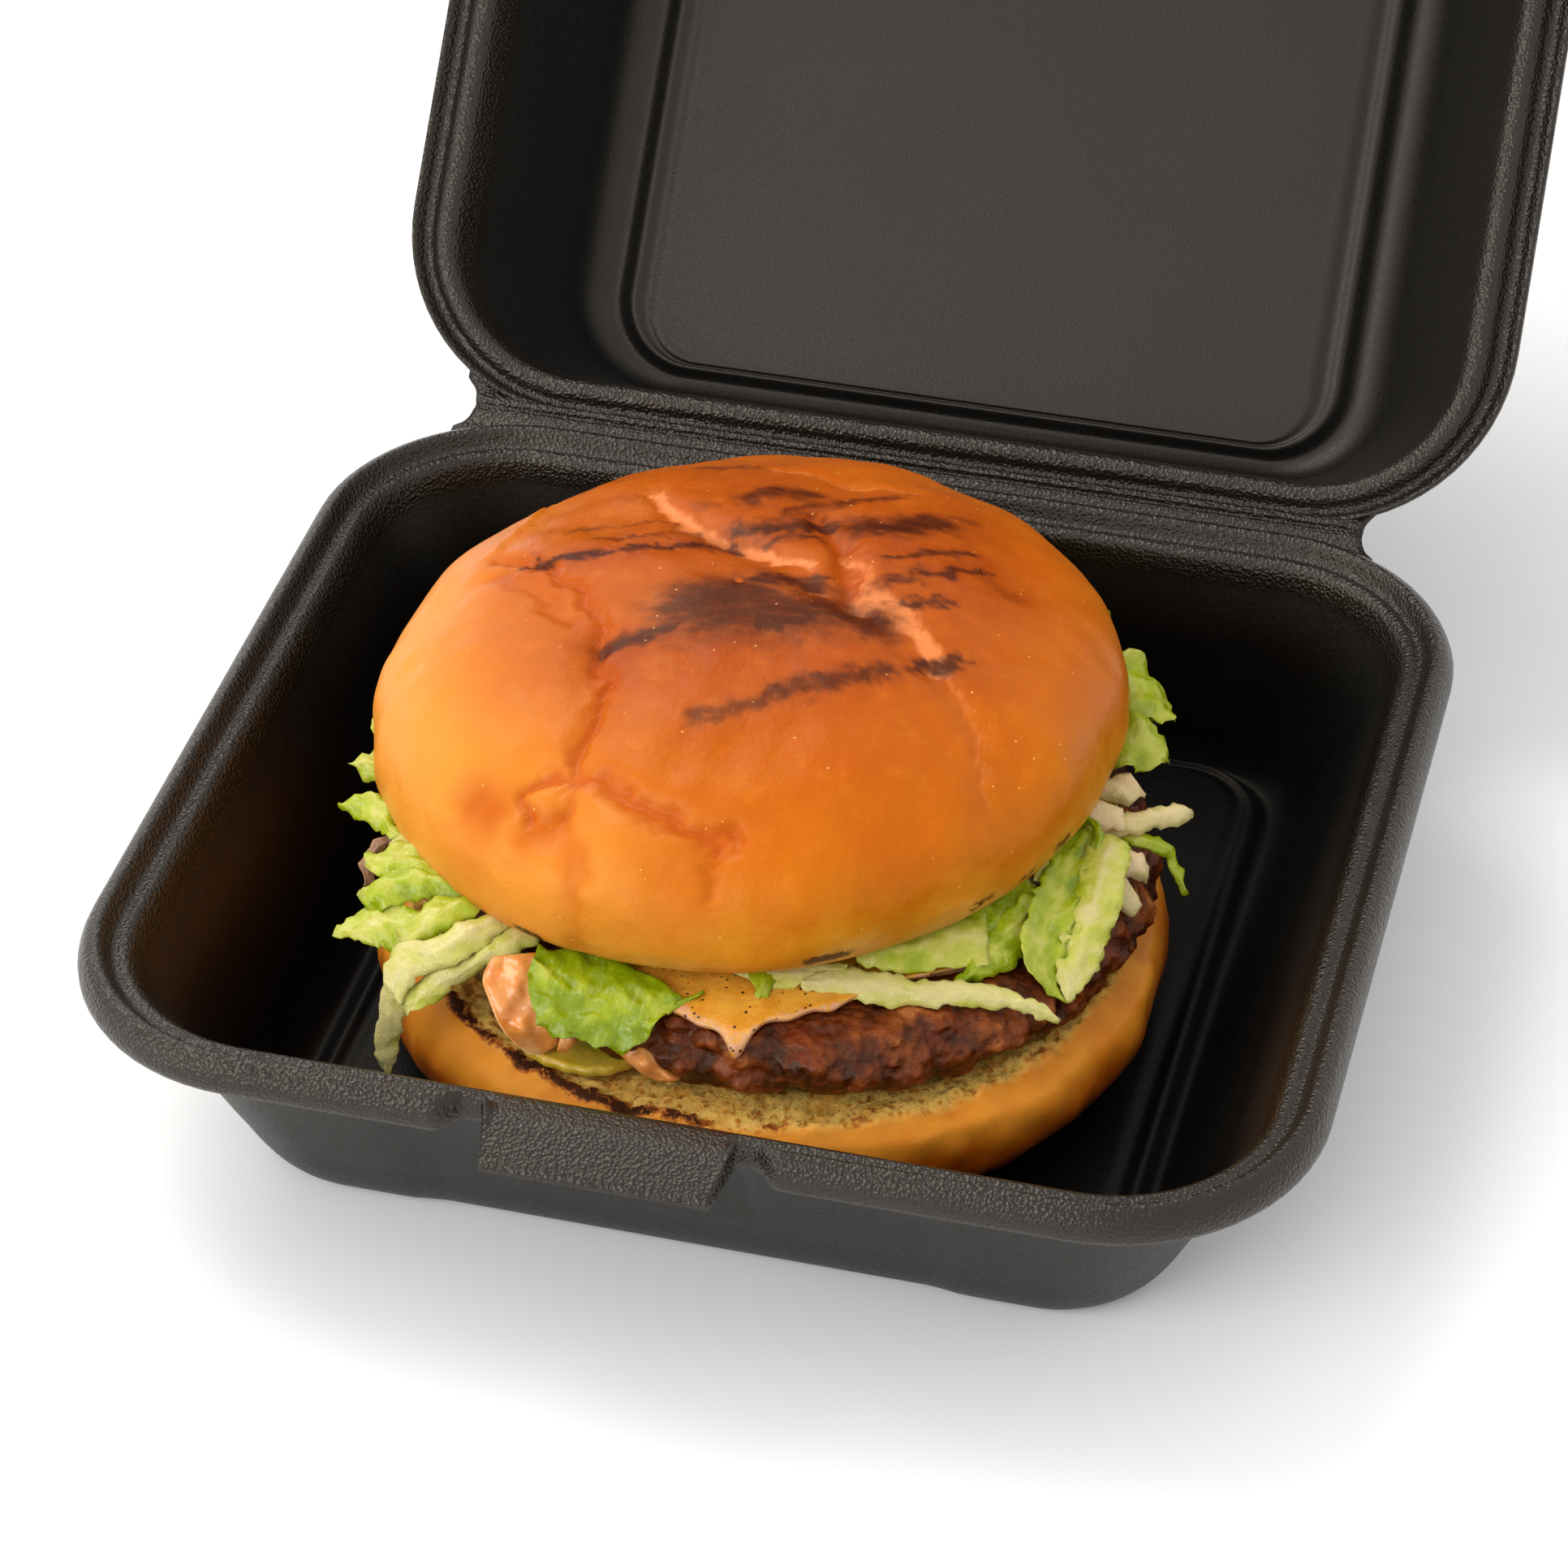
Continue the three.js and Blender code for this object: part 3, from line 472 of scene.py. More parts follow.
def front_stations():
    """X of the points along the front: every 2 mm, and closer at the flap and notch edges."""
    marks = list(np.arange(-36, 37, 2.0))
    for edge, run in ((FLAP_HALF, EDGE_RUN), (NOTCH_END, NOTCH_RUN)):
        for side in (-1, 1):
            marks += [FLAP_X + side * edge + run * k / 4 for k in range(-5, 6)]
    marks.sort()
    kept = [marks[0]]
    for mark in marks[1:]:
        if mark - kept[-1] > 0.1:
            kept.append(mark)
    return np.array(kept)


STATIONS = front_stations()


def box_ring(values):
    """One closed line round a shell, from the left end of its front."""
    half, front, back, radius, z, recess, flap_y, flap_z, notch_y, notch_z, lift = values
    away = np.abs(STATIONS - FLAP_X)
    past_flap = smoothstep(away, FLAP_HALF - EDGE_RUN, FLAP_HALF + EDGE_RUN)
    past_notch = smoothstep(away, NOTCH_END - NOTCH_RUN, NOTCH_END + NOTCH_RUN)
    flap, notch = 1 - past_flap, past_flap - past_notch
    inner = 1 - smoothstep(np.abs(STATIONS), RECESS_HALF, RECESS_HALF + RECESS_RUN)
    y = front + inner * recess + flap * flap_y + notch * notch_y
    straight = half - radius
    ring = [np.stack([STATIONS, y, z + flap * flap_z + notch * notch_z], 1)]

    def corner(cx, cy, start, rise):
        part = np.arange(0, CORNER_STEPS + 1) / CORNER_STEPS
        angle = np.radians(start + 90 * part)
        ring.append(np.stack([cx + radius * np.cos(angle), cy + radius * np.sin(angle),
                              z + lift * rise(part)], 1))

    def side(x, start, end):
        rows = [[x, start + (end - start) * k / SIDE_STEPS, z] for k in range(1, SIDE_STEPS)]
        ring.append(np.array(rows))

    def level(part):
        return part * 0

    def rising(part):
        return smoothstep(part, 0.15, 0.9)

    def falling(part):
        return rising(1 - part)

    corner(straight, front + radius, -90, level)
    side(half, front + radius, back - radius)
    corner(straight, back - radius, 0, rising)
    across = [straight - 2 * straight * k / BACK_STEPS for k in range(1, BACK_STEPS)]
    ring.append(np.array([[x, back, z + lift] for x in across]))
    corner(-straight, back - radius, 90, falling)
    side(-half, back - radius, front + radius)
    corner(-straight, front + radius, 180, level)
    return np.concatenate(ring)


def box_shell(rows, lean):
    lines = hermite([placed(values, lean) for values in rows], [0, 4], BOX_STEP)
    rings = [box_ring(line) for line in lines]
    points = end_points(np.concatenate(rings), rows[0]["z"], rows[-1]["z"])
    return points, ring_faces(len(rings), len(rings[0]))


def open_lid(points):
    """From the lid's closed frame at the hinge line to its open place."""
    x, y, z = points.T
    cos, sin = math.cos(-LID_OPEN), math.sin(-LID_OPEN)
    return np.stack([x, y * cos - z * sin + HINGE_Y, y * sin + z * cos + HINGE_Z], 1)


WEB_MIDDLE_X, WEB_HALF = -1.35, 61.0
WEB_REACH = 1.9  # from the strip's middle line to its long edges
WEB_STRAIGHT, WEB_CORNER = 50, 26  # where the rims' corners begin, and their radius
WEB_FILLET = 4.2
WEB_THICKNESS = 0.9
WEB_ACROSS, WEB_ALONG = 34, 120
WEB_LEAN = (0.6665, 0.7455)  # cosine and sine of the open lid's lean
WEB_TURN = math.atan2(WEB_LEAN[1], WEB_LEAN[0])
# The ridges across the strip: distance from the joint, and height.
WEB_RIDGES = np.array([
    (-4.5, -0.9), (-3.4, -0.8), (-2.2, -0.75), (-1.2, -0.35), (-0.4, 0.2), (0.1, 0.25),
    (0.7, -0.35), (1.3, 0.0), (1.9, -0.45), (2.7, -1.3), (4.5, -1.6),
])


def web_spot(u, v):
    """x along the strip and s across it, for u and v from -1 to 1. Its ends flare in a fillet."""
    x = WEB_MIDDLE_X + u * WEB_HALF
    for _ in range(3):
        past = max(0.0, abs(x) - WEB_STRAIGHT)
        drop = WEB_CORNER - math.sqrt(max(0.0, WEB_CORNER**2 - past**2))
        s = v * (WEB_REACH + drop)
        reach = min(abs(s - 0.5), WEB_FILLET * 0.86)
        flare = WEB_FILLET - math.sqrt(WEB_FILLET**2 - reach**2)
        x = WEB_MIDDLE_X + u * (WEB_HALF + flare)
    return x, s


def web_grid():
    """The living hinge, a thin ridged sheet from the tray's bead to the lid's lip: its upper
    points, then its lower ones."""
    top, bottom = [], []
    for v in np.linspace(-1, 1, WEB_ACROSS + 1):
        for u in np.linspace(-1, 1, WEB_ALONG + 1):
            x, s = web_spot(u, v)
            height = np.interp(s, WEB_RIDGES[:, 0], WEB_RIDGES[:, 1])
            turn = WEB_TURN * smoothstep(s, -1.0, 1.0)
            lean_y, lean_z = (1, 0) if s < 0 else WEB_LEAN
            y, z = HINGE_Y + s * lean_y, HINGE_Z + s * lean_z
            for store, lift in ((top, height), (bottom, height - WEB_THICKNESS)):
                store.append([x, y - math.sin(turn) * lift, z + math.cos(turn) * lift])
    return np.array(top + bottom)


def sheet_faces(rows, columns):
    """Faces of two like grids of points, upper then lower, joined round their edge."""
    width = columns + 1
    under = (rows + 1) * width
    faces = []
    for i in range(rows):
        for j in range(columns):
            a = i * width + j
            faces.append((a, a + 1, a + width + 1, a + width))
            faces.append((under + a + width, under + a + width + 1, under + a + 1, under + a))
    edge = list(range(columns)) + [i * width + columns for i in range(rows)]
    edge += [rows * width + j for j in range(columns, 0, -1)]
    edge += [i * width for i in range(rows, 0, -1)]
    for k, a in enumerate(edge):
        b = edge[(k + 1) % len(edge)]
        faces.append((b, a, under + a, under + b))
    return faces


def paint_box(obj, ribbed, inside, pebbled):
    everywhere = np.ones(len(obj.data.vertices))
    paint(obj, "ribbed", ribbed * everywhere)
    paint(obj, "inside", inside * everywhere)
    paint(obj, "pebbled", pebbled * everywhere)


def build_tray(material):
    points, faces = box_shell(TRAY_ROWS, TRAY_LEAN)
    tray = add_mesh("tray_shell", points, faces, material, "tray", ("tray",), True)
    x, y, z = points.T
    flap = (np.abs(x - FLAP_X) < FLAP_HALF) & (y < FLAP_FRONT_Y)
    past_rim = np.arange(len(points)) > np.argmax(z)
    # The mask of the tray's inside, whose lower specular level is painted shade.
    inside = past_rim * (1 - smoothstep(z, 16, 29))
    # The rim's mask also paints it lighter, as light on the rim.
    paint_box(tray, flap, inside, smoothstep(z, 27.4, 30.4))


def build_lid(material):
    points, faces = box_shell(LID_ROWS, LID_LEAN)
    # The lid rim's mask also paints it lighter, as light on the rim.
    pebbled = smoothstep(6 - points[:, 2], 0, 3)
    points = open_lid(points - np.array([0, HINGE_Y, 0]))
    lid = add_mesh("lid_shell", points, faces, material, "lid", ("lid",), True)
    paint_box(lid, 0, 0, pebbled)


def build_hinge(material):
    faces = sheet_faces(WEB_ACROSS, WEB_ALONG)
    web = add_mesh("hinge_web", web_grid(), faces, material, None)
    paint_box(web, 0, 0, 1)
    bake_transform(web)


def build_box():
    material = box_material()
    build_tray(material)
    build_lid(material)
    build_hinge(material)


# ---- Camera, light and floor

CAMERA_AT = (134.4365, -498.5533, 443.563)
CAMERA_YAW, CAMERA_PITCH, CAMERA_ROLL = np.radians([-15.10, 38.38, -0.51]).tolist()
CAMERA_LENS, CAMERA_SENSOR = 122.535, 36
FLOOR_HALF, FLOOR_GAP = 4, 0.0002  # metres


def build_camera():
    sin_yaw, cos_yaw = math.sin(CAMERA_YAW), math.cos(CAMERA_YAW)
    sin_pitch, cos_pitch = math.sin(CAMERA_PITCH), math.cos(CAMERA_PITCH)
    sin_roll, cos_roll = math.sin(CAMERA_ROLL), math.cos(CAMERA_ROLL)
    forward = Vector((sin_yaw * cos_pitch, cos_yaw * cos_pitch, -sin_pitch))
    level = Vector((cos_yaw, -sin_yaw, 0))
    above = level.cross(forward)
    right = cos_roll * level + sin_roll * above
    up = -sin_roll * level + cos_roll * above
    data = bpy.data.cameras.new("camera")
    data.sensor_width = CAMERA_SENSOR
    data.lens = CAMERA_LENS
    data.clip_start, data.clip_end = 0.05, 20
    camera = bpy.data.objects.new("camera", data)
    turn = Matrix((right, up, -forward)).transposed().to_4x4()
    camera.matrix_world = Matrix.Translation(Vector(CAMERA_AT) * MM) @ turn
    link(camera)
    bpy.context.scene.camera = camera


def add_area(name, place, target, size, power, colour):
    data = bpy.data.lights.new(name, "AREA")
    data.shape = "RECTANGLE"
    data.size, data.size_y = size
    data.energy = power
    data.color = colour
    lamp = bpy.data.objects.new(name, data)
    lamp.location = place
    lamp.rotation_euler = (Vector(target) - Vector(place)).to_track_quat("-Z", "Y").to_euler()
    link(lamp)


def build_stage():
    bpy.context.scene.view_settings.view_transform = "Standard"
    world = bpy.data.worlds.new("studio")
    world.use_nodes = True
    background = world.node_tree.nodes["Background"]
    background.inputs["Color"].default_value = (1, 1, 1, 1)
    background.inputs["Strength"].default_value = 1.0
    bpy.context.scene.world = world
    add_area("key", (-0.5, 0.3, 0.9), (0, 0.02, 0.03), (0.6, 0.6), 4.6, (1, 0.96, 0.91))
    add_area("front", (-0.6, -0.8, 0.6), (0, 0, 0.03), (0.9, 0.5), 6.5, (1, 0.98, 0.96))
    floor = Paint("floor_white", 0.9, Specular_IOR_Level=0.1)
    tone = floor.noise(400, 2)
    floor.colour(floor.ramp(tone, [(0, (0.93, 0.93, 0.93, 1)), (1, (0.95, 0.95, 0.95, 1))]))
    mesh = bpy.data.meshes.new("floor")
    corners = [(x * FLOOR_HALF, y * FLOOR_HALF, 0) for x, y in ((-1, -1), (1, -1), (1, 1), (-1, 1))]
    mesh.from_pydata(corners, [], [(0, 1, 2, 3)])
    mesh.materials.append(floor.material)
    plane = bpy.data.objects.new("floor", mesh)
    plane.location = (0, 0, -FLOOR_GAP)
    link(plane)


# ---- The crown of the bun

CROWN_AT = (-6.6, 8.4, 38.3)
CROWN_RADIUS, CROWN_RISE, CROWN_DROP, CROWN_POWER = 46.9, 19.9, 14.6, 0.92
CROWN_TILT = math.radians(-3.4)

# Marks on the crown in plan, from its middle: (strength, half width, line).
CROWN_DENTS = [
    (0.7, 2.6, [(-30, 4), (-14, -13)]),
    (0.8, 2.6, [(-14, -13), (-11.5, -35)]),
    (1.4, 3.2, [(-17, -33), (-11, -37.5)]),
    (0.9, 2.2, [(-12, -35), (9, -38.5)]),
    (0.8, 2.2, [(-13, 15), (14, -0.5)]),
    (0.9, 2.4, [(9, 17), (14, -0.5)]),
    (0.7, 2.2, [(14, -0.5), (33, -15)]),
]

SCORCH = [
    (0.9, 0.6, [(-28.6, 3.2), (-21.6, 3.6), (-14.6, 5.6), (-9.2, 6.6)]),
    (0.8, 0.9, [(-9.2, 6.6), (-2.7, 8.2)]),
    (0.4, 2.2, [(-10.1, 9.8), (-2.9, 8.9)]),
    (0.6, 0.6, [(-20.5, 8.7), (-16.4, 8.6), (-12.2, 9.4), (-8.8, 11.1)]),
    (0.5, 0.6, [(-25.5, 11.8), (-19.3, 12.2), (-14.8, 13.6), (-12, 13.1)]),
    (0.35, 1.1, [(-24.1, 27.3), (-20, 26)]),
    (0.5, 1.2, [(-13.5, 30.2), (-6.5, 30.5)]),
    (0.3, 1.1, [(-22.3, 20.5), (-16.1, 17.9)]),
    (0.7, 1.8, [(-3.7, 19.5), (-1.3, 22), (2.6, 22.4)]),
    (0.4, 0.8, [(-10.3, 16.4), (-7.4, 17.1)]),
    (0.6, 1, [(1, 17), (4.4, 20.4), (8.6, 22.9)]),
    (0.5, 0.7, [(-4.9, 12.8), (0.8, 14.7), (5.6, 19.2)]),
    (0.85, 1, [(-3.7, 11.7), (0.4, 12.8), (4.3, 14.4), (7.5, 16.9)]),
    (0.7, 0.8, [(0.3, 10.1), (3.4, 11.2), (7, 12.5)]),
    (0.6, 0.8, [(9, 23), (13.8, 26.2)]),
    (0.8, 2.2, [(11, 16.8), (14.9, 17), (19.9, 21)]),
    (0.5, 1.1, [(19.6, 22.3), (23, 23.9)]),
    (0.7, 0.7, [(16.4, 9.3), (19.6, 11.8), (24.9, 16)]),
    (0.7, 0.7, [(19.7, 7.9), (23.6, 9.1), (27.3, 13)]),
    (0.7, 1.1, [(17.2, 4.3), (20.1, 6.1)]),
    (0.4, 0.8, [(28.6, 11.4), (31.1, 9.5), (32.6, 10.3)]),
    (0.75, 0.9, [(19.7, 0.9), (22.4, 2), (25.3, 3.1)]),
    (0.85, 1.3, [(2.7, 1), (5.3, 2.4), (8.9, 2)]),
    (0.8, 0.8, [(8.8, 3.9), (9.3, 3.8)]),
    (0.8, 3.3, [(-5.6, -6.1), (-1.2, -3.5), (2.6, -1.6)]),
    (0.75, 4.4, [(-1.9, -7.3), (5.9, -4.6), (13.1, -3.1)]),
    (0.8, 3.1, [(13.2, -3.4), (17.5, -3.7)]),
    (0.9, 1.4, [(5, -7.6), (10.3, -5.4)]),
    (0.8, 1.3, [(-13.5, -13.5), (-10.3, -12.3), (-5.1, -9.4)]),
    (0.4, 2.2, [(-9.7, -6.8), (-5.7, -8.8)]),
    (0.5, 2.8, [(-4.8, -10.6), (8.7, -8.7)]),
    (0.62, 1.2, [(1.1, -24.8), (5.5, -22.2), (9, -19.6)]),
    (0.7, 1.4, [(9, -19.6), (14, -16.3), (21.1, -11.9)]),
    (0.8, 0.8, [(23.9, -9.6), (26.4, -8.1), (29.3, -6)]),
    (0.95, 1.3, [(27.5, -7.6), (28, -7.3)]),
]
# Browned patches of the crust; the one at the right top is painted shade, on the side turned from the
# light.
TANNED = [
    (0.5, 8.3, [(-9.1, -16.8), (2.5, -14.2), (13.3, -10.5)]),
    (0.4, 6.7, [(-18, 2.2), (-1.2, 12.1), (22.3, 21.5)]),
    (0.6, 7.5, [(16, 14), (29.4, 9.5)]),
    (0.45, 6.1, [(-10.6, 23.6), (5.9, 18.3)]),
]
SCORES = [
    (1, 1.4, [(-16.9, 20.5), (-11.4, 14), (-6.9, 10.9), (-2.8, 8.6), (2, 7), (7, 6)]),
    (0.7, 1.3, [(10.6, 10), (13.4, 7.4), (15.2, 3.7), (14.9, 0)]),
    (1, 2.4, [(15.5, -0.9), (17, 1.8), (19.5, -0.1), (22.3, -2.8)]),
    (1, 1.7, [(22.3, -2.8), (24.5, -5.1), (26.9, -8.2)]),
    (0.5, 1, [(27.7, -8.1), (30, -11.1), (32.4, -14.2), (34.9, -18.3), (36.2, -22.5)]),
    (0.6, 0.35, [(31.3, -12), (34, -13.4), (35.8, -16.5), (35.2, -18.2)]),
    (0.6, 0.7, [(-7.5, 32.9), (-5.3, 29.8), (0.5, 29.8), (7.7, 27.9), (14.4, 28.7)]),
    (0.6, 0.9, [(9.2, 0.8), (12.3, -0.5)]),
]
GROOVES = [
    (1, 1.5, [(6.6, 16.2), (10.2, 9.9), (12.9, 2.9), (14.7, -0.8)]),
]
LEFT_CREASE = [(-33, 6.2), (-28.7, 4), (-24.4, 0.8), (-20.2, -2.3), (-18, -5.5), (-15.4, -9.8),
               (-13.7, -13.7), (-13.9, -16.9), (-11.6, -19.4), (-10.8, -22.6), (-11.4, -25.4),
               (-12.4, -27.9), (-12, -32.5)]
KNUCKLE = (-14.6, -35.9)
CREASES = [
    (0.9, 1, LEFT_CREASE),
    (0.5, 0.9, [(-33.1, 2.5), (-29.2, 0.5), (-24.8, -3), (-19, -9.1)]),
    (0.5, 0.7, [(-18.6, -6.3), (-18.5, -3.5), (-18.3, -1.1)]),
    (1, 0.9, [(-17.4, -37), (-18.3, -34.8), (-17, -32.9), (-14.6, -32.3), (-12.4, -33.4)]),
    (0.55, 0.7, [(-12, -34), (-11.7, -36.2), (-12.8, -38)]),
    (1, 1.2, [(-12.2, -33.3), (-8.1, -34), (-3.8, -36.1), (-0.4, -37.6), (3.6, -38.4), (6.7, -39.3)]),
    (0.9, 0.9, [(6.7, -39.3), (9.2, -38.6)]),
    (0.5, 0.7, [(8.6, -39.4), (7.8, -40.9), (6.9, -42.9), (7.4, -44.2)]),
]
# Where the skin sinks a little, and its colour is painted darker as the shade in the hollow.
DIMPLES = [
    (1, 3.4, [(-24.5, -34.6), (-21.5, -36.4)]),
    (1, 2.8, [(-16.4, -38.9), (-13.4, -39)]),
    (0.7, 1.8, [(-12.6, -39.4), (-9.6, -42.6), (-9, -44.6)]),
    (0.4, 3, [(25, -34.7), (30, -30.6)]),
    (0.3, 2.6, [(2, -43.6), (8, -43.2)]),
    (0.4, 3.4, [(37.6, -17.5), (36, -24)]),
]
RIM_BURNS = [
    (0.9, 1, [(-17.2, -43.2), (-14.8, -43.8)]),
    (0.9, 1.2, [(18.8, -42.9), (22.8, -41)]),
    (0.9, 1.2, [(36.2, -29.9), (37.9, -28.1)]),
    (0.8, 1, [(40.6, -23.4), (41.4, -22)]),
    (0.8, 1.1, [(43.4, -16.8), (44.2, -14.6)]),
]


CROWN_HIGHEST, CROWN_LOWEST = math.radians(89.4), math.radians(-17)
CROWN_AROUND, CROWN_LEVELS = 480, 112
CROWN_UNDER_Z = -1.6
# Radius, height and share of skin from the lip to the middle of the underside.
CROWN_UNDERSIDE = [
    [45.0, -4.7, 1], [43.8, -5.3, 0.8], [41.6, -5.4, 0.5], [38.2, -4.4, 0.2],
    [34.5, -2.9, 0], [29, -1.9, 0], [14, CROWN_UNDER_Z, 0],
]


def crown_section():
    """Radius, height and share of skin down the crown and along its underside."""
    rows = []
    for level in np.linspace(CROWN_HIGHEST, CROWN_LOWEST, CROWN_LEVELS):
        half = CROWN_RISE if level > 0 else CROWN_DROP
        radius = CROWN_RADIUS * math.cos(level) ** CROWN_POWER
        height = half * math.copysign(abs(math.sin(level)) ** CROWN_POWER, level)
        rows.append([radius, height, 1])
    return np.concatenate([rows, hermite(CROWN_UNDERSIDE, [0, 1], 0.8)[1:]])


def crown_rings(section):
    """The crown's points before its creases."""
    angle = angles(CROWN_AROUND)
    flat = np.ones(CROWN_AROUND)[None, :]
    radius, height = section[:, 0][:, None] * flat, section[:, 1][:, None] * flat
    radius *= 1 + 0.006 * ripple(angle, 11, 2, 3)[None, :] * smoothstep(section[:, 0], 5, 40)[:, None]
    low = smoothstep(-height, 3.2, 5.2)
    height += low * 0.45 * ripple(angle, 1, 4, 5)[None, :] * smoothstep(radius, 30, 38)
    return circle(radius, angle, height).reshape(-1, 3)


def build_crown():
    section = crown_section()
    points = crown_rings(section)
    upper = np.repeat(section[:, 2], CROWN_AROUND)
    x, y = points[:, 0].copy(), points[:, 1].copy()
    wx = x + 0.55 * waves(points, 5, 1) + 0.22 * waves(points, 1.7, 3)
    wy = y + 0.55 * waves(points, 5, 2) + 0.22 * waves(points, 1.7, 4)
    outside = smoothstep(points[:, 2], -5.5, -2)
    score = strokes(wx, wy, SCORES)
    groove = strokes(wx, wy, GROOVES)
    crease = strokes(wx, wy, CREASES)
    knuckle = bell(np.hypot(wx - KNUCKLE[0], wy - KNUCKLE[1]), 0, 2.2)
    depth = 0.9 * strokes(x, y, CROWN_DENTS) + 0.5 * score + 1.2 * groove + 0.95 * crease
    depth -= 0.5 * plate_side(wx, wy) + 0.8 * knuckle
    lump = 0.34 * waves(points, 19, 5) + 0.09 * waves(points, 6, 6)
    dimple = strokes(x + 0.5 * waves(points, 4, 12), y, DIMPLES)
    normal = points / np.array([CROWN_RADIUS**2, CROWN_RADIUS**2, CROWN_RISE**2])
    normal /= np.linalg.norm(normal, axis=1)[:, None]
    points += normal * ((lump - depth - 1.1 * dimple) * outside)[:, None]
    body = crown_place(end_points(points, CROWN_RISE, CROWN_UNDER_Z))
    obj = add_food("bun_crown", body, CROWN_AROUND, crown_material(), "bun_top")
    scorch_x = x + 0.5 * waves(points, 2.6, 7) + 0.25 * waves(points, 1.1, 8)
    scorch_y = y + 0.45 * waves(points, 2.6, 9) + 0.3 * waves(points, 1.1, 10)
    scorch = strokes(scorch_x, scorch_y, [(s * 1.05, w * 1.5, line) for s, w, line in SCORCH])
    haze = strokes(scorch_x, scorch_y, [(s * 0.65, w * 3 + 1.2, line) for s, w, line in SCORCH])
    # Painted light: the crown's left and front left, below its top, are painted paler, as the light
    # that falls there.
    golden = smoothstep(-(0.86 * x + 0.5 * y), 8, 42) * smoothstep(18 - points[:, 2], -2, 8)
    rise = smoothstep(points[:, 2], -6.5, CROWN_RISE) * upper
    burn = strokes(x, y, RIM_BURNS) * smoothstep(-points[:, 2], 1.0, 3.0)
    paint(obj, "haze", end_values(haze * outside))
    paint(obj, "golden", end_values(golden))
    paint(obj, "rise", end_values(rise, 1))
    paint(obj, "under", end_values(1 - upper))
    paint(obj, "scorch", end_values(scorch * outside))
    paint(obj, "tan", end_values(strokes(x, y, TANNED) * outside))
    paint(obj, "score", end_values(np.clip(score, 0, 1) * outside))
    # Besides marking the creases, this paints shade: the skin is painted darker along the creases and
    # the groove.
    paint(obj, "crease", end_values(np.clip(crease + groove * 0.8, 0, 1) * outside))
    paint(obj, "dimple", end_values(dimple * outside))
    paint(obj, "burn", end_values(burn))


def plate_side(x, y):
    """1 on the plate of skin left of the long crease, fading away from it."""
    line = np.array(LEFT_CREASE)
    order = np.argsort(line[:, 1])
    edge = np.interp(y, line[order, 1], line[order, 0])
    side = smoothstep(edge - x, -0.1, 0.5)
    return side * np.exp(-np.clip(edge - x, 0, None) / 7) * smoothstep(y, -33, -27)


def crown_place(points):
    """The crown tilted and put on the filling."""
    cos, sin = math.cos(CROWN_TILT), math.sin(CROWN_TILT)
    x, y, z = points.T
    return np.stack([x * cos + z * sin, y, z * cos - x * sin], 1) + np.array(CROWN_AT)


def crown_material():
    p = Paint("crown_crust", 0.36, Specular_IOR_Level=0.22, Subsurface_Weight=0.04,
              Subsurface_Scale=0.003, Specular_Tint=(1, 0.78, 0.5, 1))
    p.shader.inputs["Subsurface Radius"].default_value = (1, 0.4, 0.1)
    rise = p.math("ADD", p.attribute("rise"), p.span(p.noise(11, 3), 0.25, 0.75, -0.12, 0.12))
    base = p.ramp(rise, [(0.0, srgb(224, 160, 66)), (0.12, srgb(208, 134, 28)),
                         (0.32, srgb(190, 106, 6)), (0.6, srgb(190, 96, 3)),
                         (1.0, srgb(182, 84, 4))])
    # Painted light on the crown's left side.
    base = p.mix(p.times(p.attribute("golden"), 0.6), base, srgb(240, 158, 62))
    mottle = p.span(p.noise(3.2, 4, 0.6), 0.5, 0.78, 0, 0.22)
    base = p.mix(mottle, base, srgb(222, 130, 30))
    # Browned crust, with painted shade at the right top.
    tan = p.times(p.attribute("tan"), p.span(p.noise(5, 4), 0.25, 0.7, 0.35, 1))
    base = p.mix(tan, base, srgb(150, 50, 6))
    haze = p.times(p.attribute("haze"), p.span(p.noise(3, 4, 0.6), 0.3, 0.65, 0.3, 1))
    base = p.mix(haze, base, srgb(138, 50, 8))
    # Painted shade in the dimples.
    base = p.mix(p.times(p.attribute("dimple"), 0.9), base, srgb(184, 84, 0))
    # Painted shade along the creases and the groove.
    base = p.mix(p.times(p.attribute("crease"), 0.8), base, srgb(178, 72, 2))
    torn = p.noise(0.8, 4, 0.65, vector=p.stretched(1.6, 0.6, 1, 35))
    pale = p.times(p.attribute("score"), p.span(torn, 0.3, 0.7, 0.7, 1))
    base = p.mix(p.span(pale, 0.25, 0.8, 0, 0.9), base, srgb(224, 130, 72))
    fine = p.noise(1.6, 5, 0.6, vector=p.stretched(0.4, 1.2, 1, 22))
    ragged = p.times(p.attribute("scorch"), p.span(fine, 0.25, 0.6, 0.8, 1.12))
    base = p.mix(p.span(ragged, 0.12, 0.95, 0, 0.95), base, srgb(66, 20, 4))
    burn = p.times(p.attribute("burn"), p.span(p.noise(0.8, 4), 0.3, 0.6, 0.4, 1.2))
    base = p.mix(p.span(burn, 0.18, 0.6), base, srgb(84, 36, 10))
    base = p.mix(p.attribute("under"), base, srgb(235, 205, 150))
    speck = p.span(p.cells(2.6), 0.04, 0.07, 0.55, 0)
    base = p.mix(speck, base, srgb(246, 190, 120))
    p.colour(base)
    p.rough(p.uneven(0.3, 0.42, 4, 3))
    wrinkle = p.noise(1.4, 4, 0.6, vector=p.stretched(1, 0.45, 1, -20))
    p.bump((p.noise(5, 3), 0.2), (wrinkle, 0.1), (p.noise(0.5, 2), 0.04))
    return p.material


# ---- The lower bun

BUN_X, BUN_Y, BUN_BOTTOM_Z, BUN_CUT_Z, BUN_RADIUS = -0.7, -3.0, 3.6, 20.2, 49.6
BUN_MIDDLE_Z = BUN_CUT_Z - 0.3
BUN_HIGHEST = 21.45
BUN_AROUND = 420
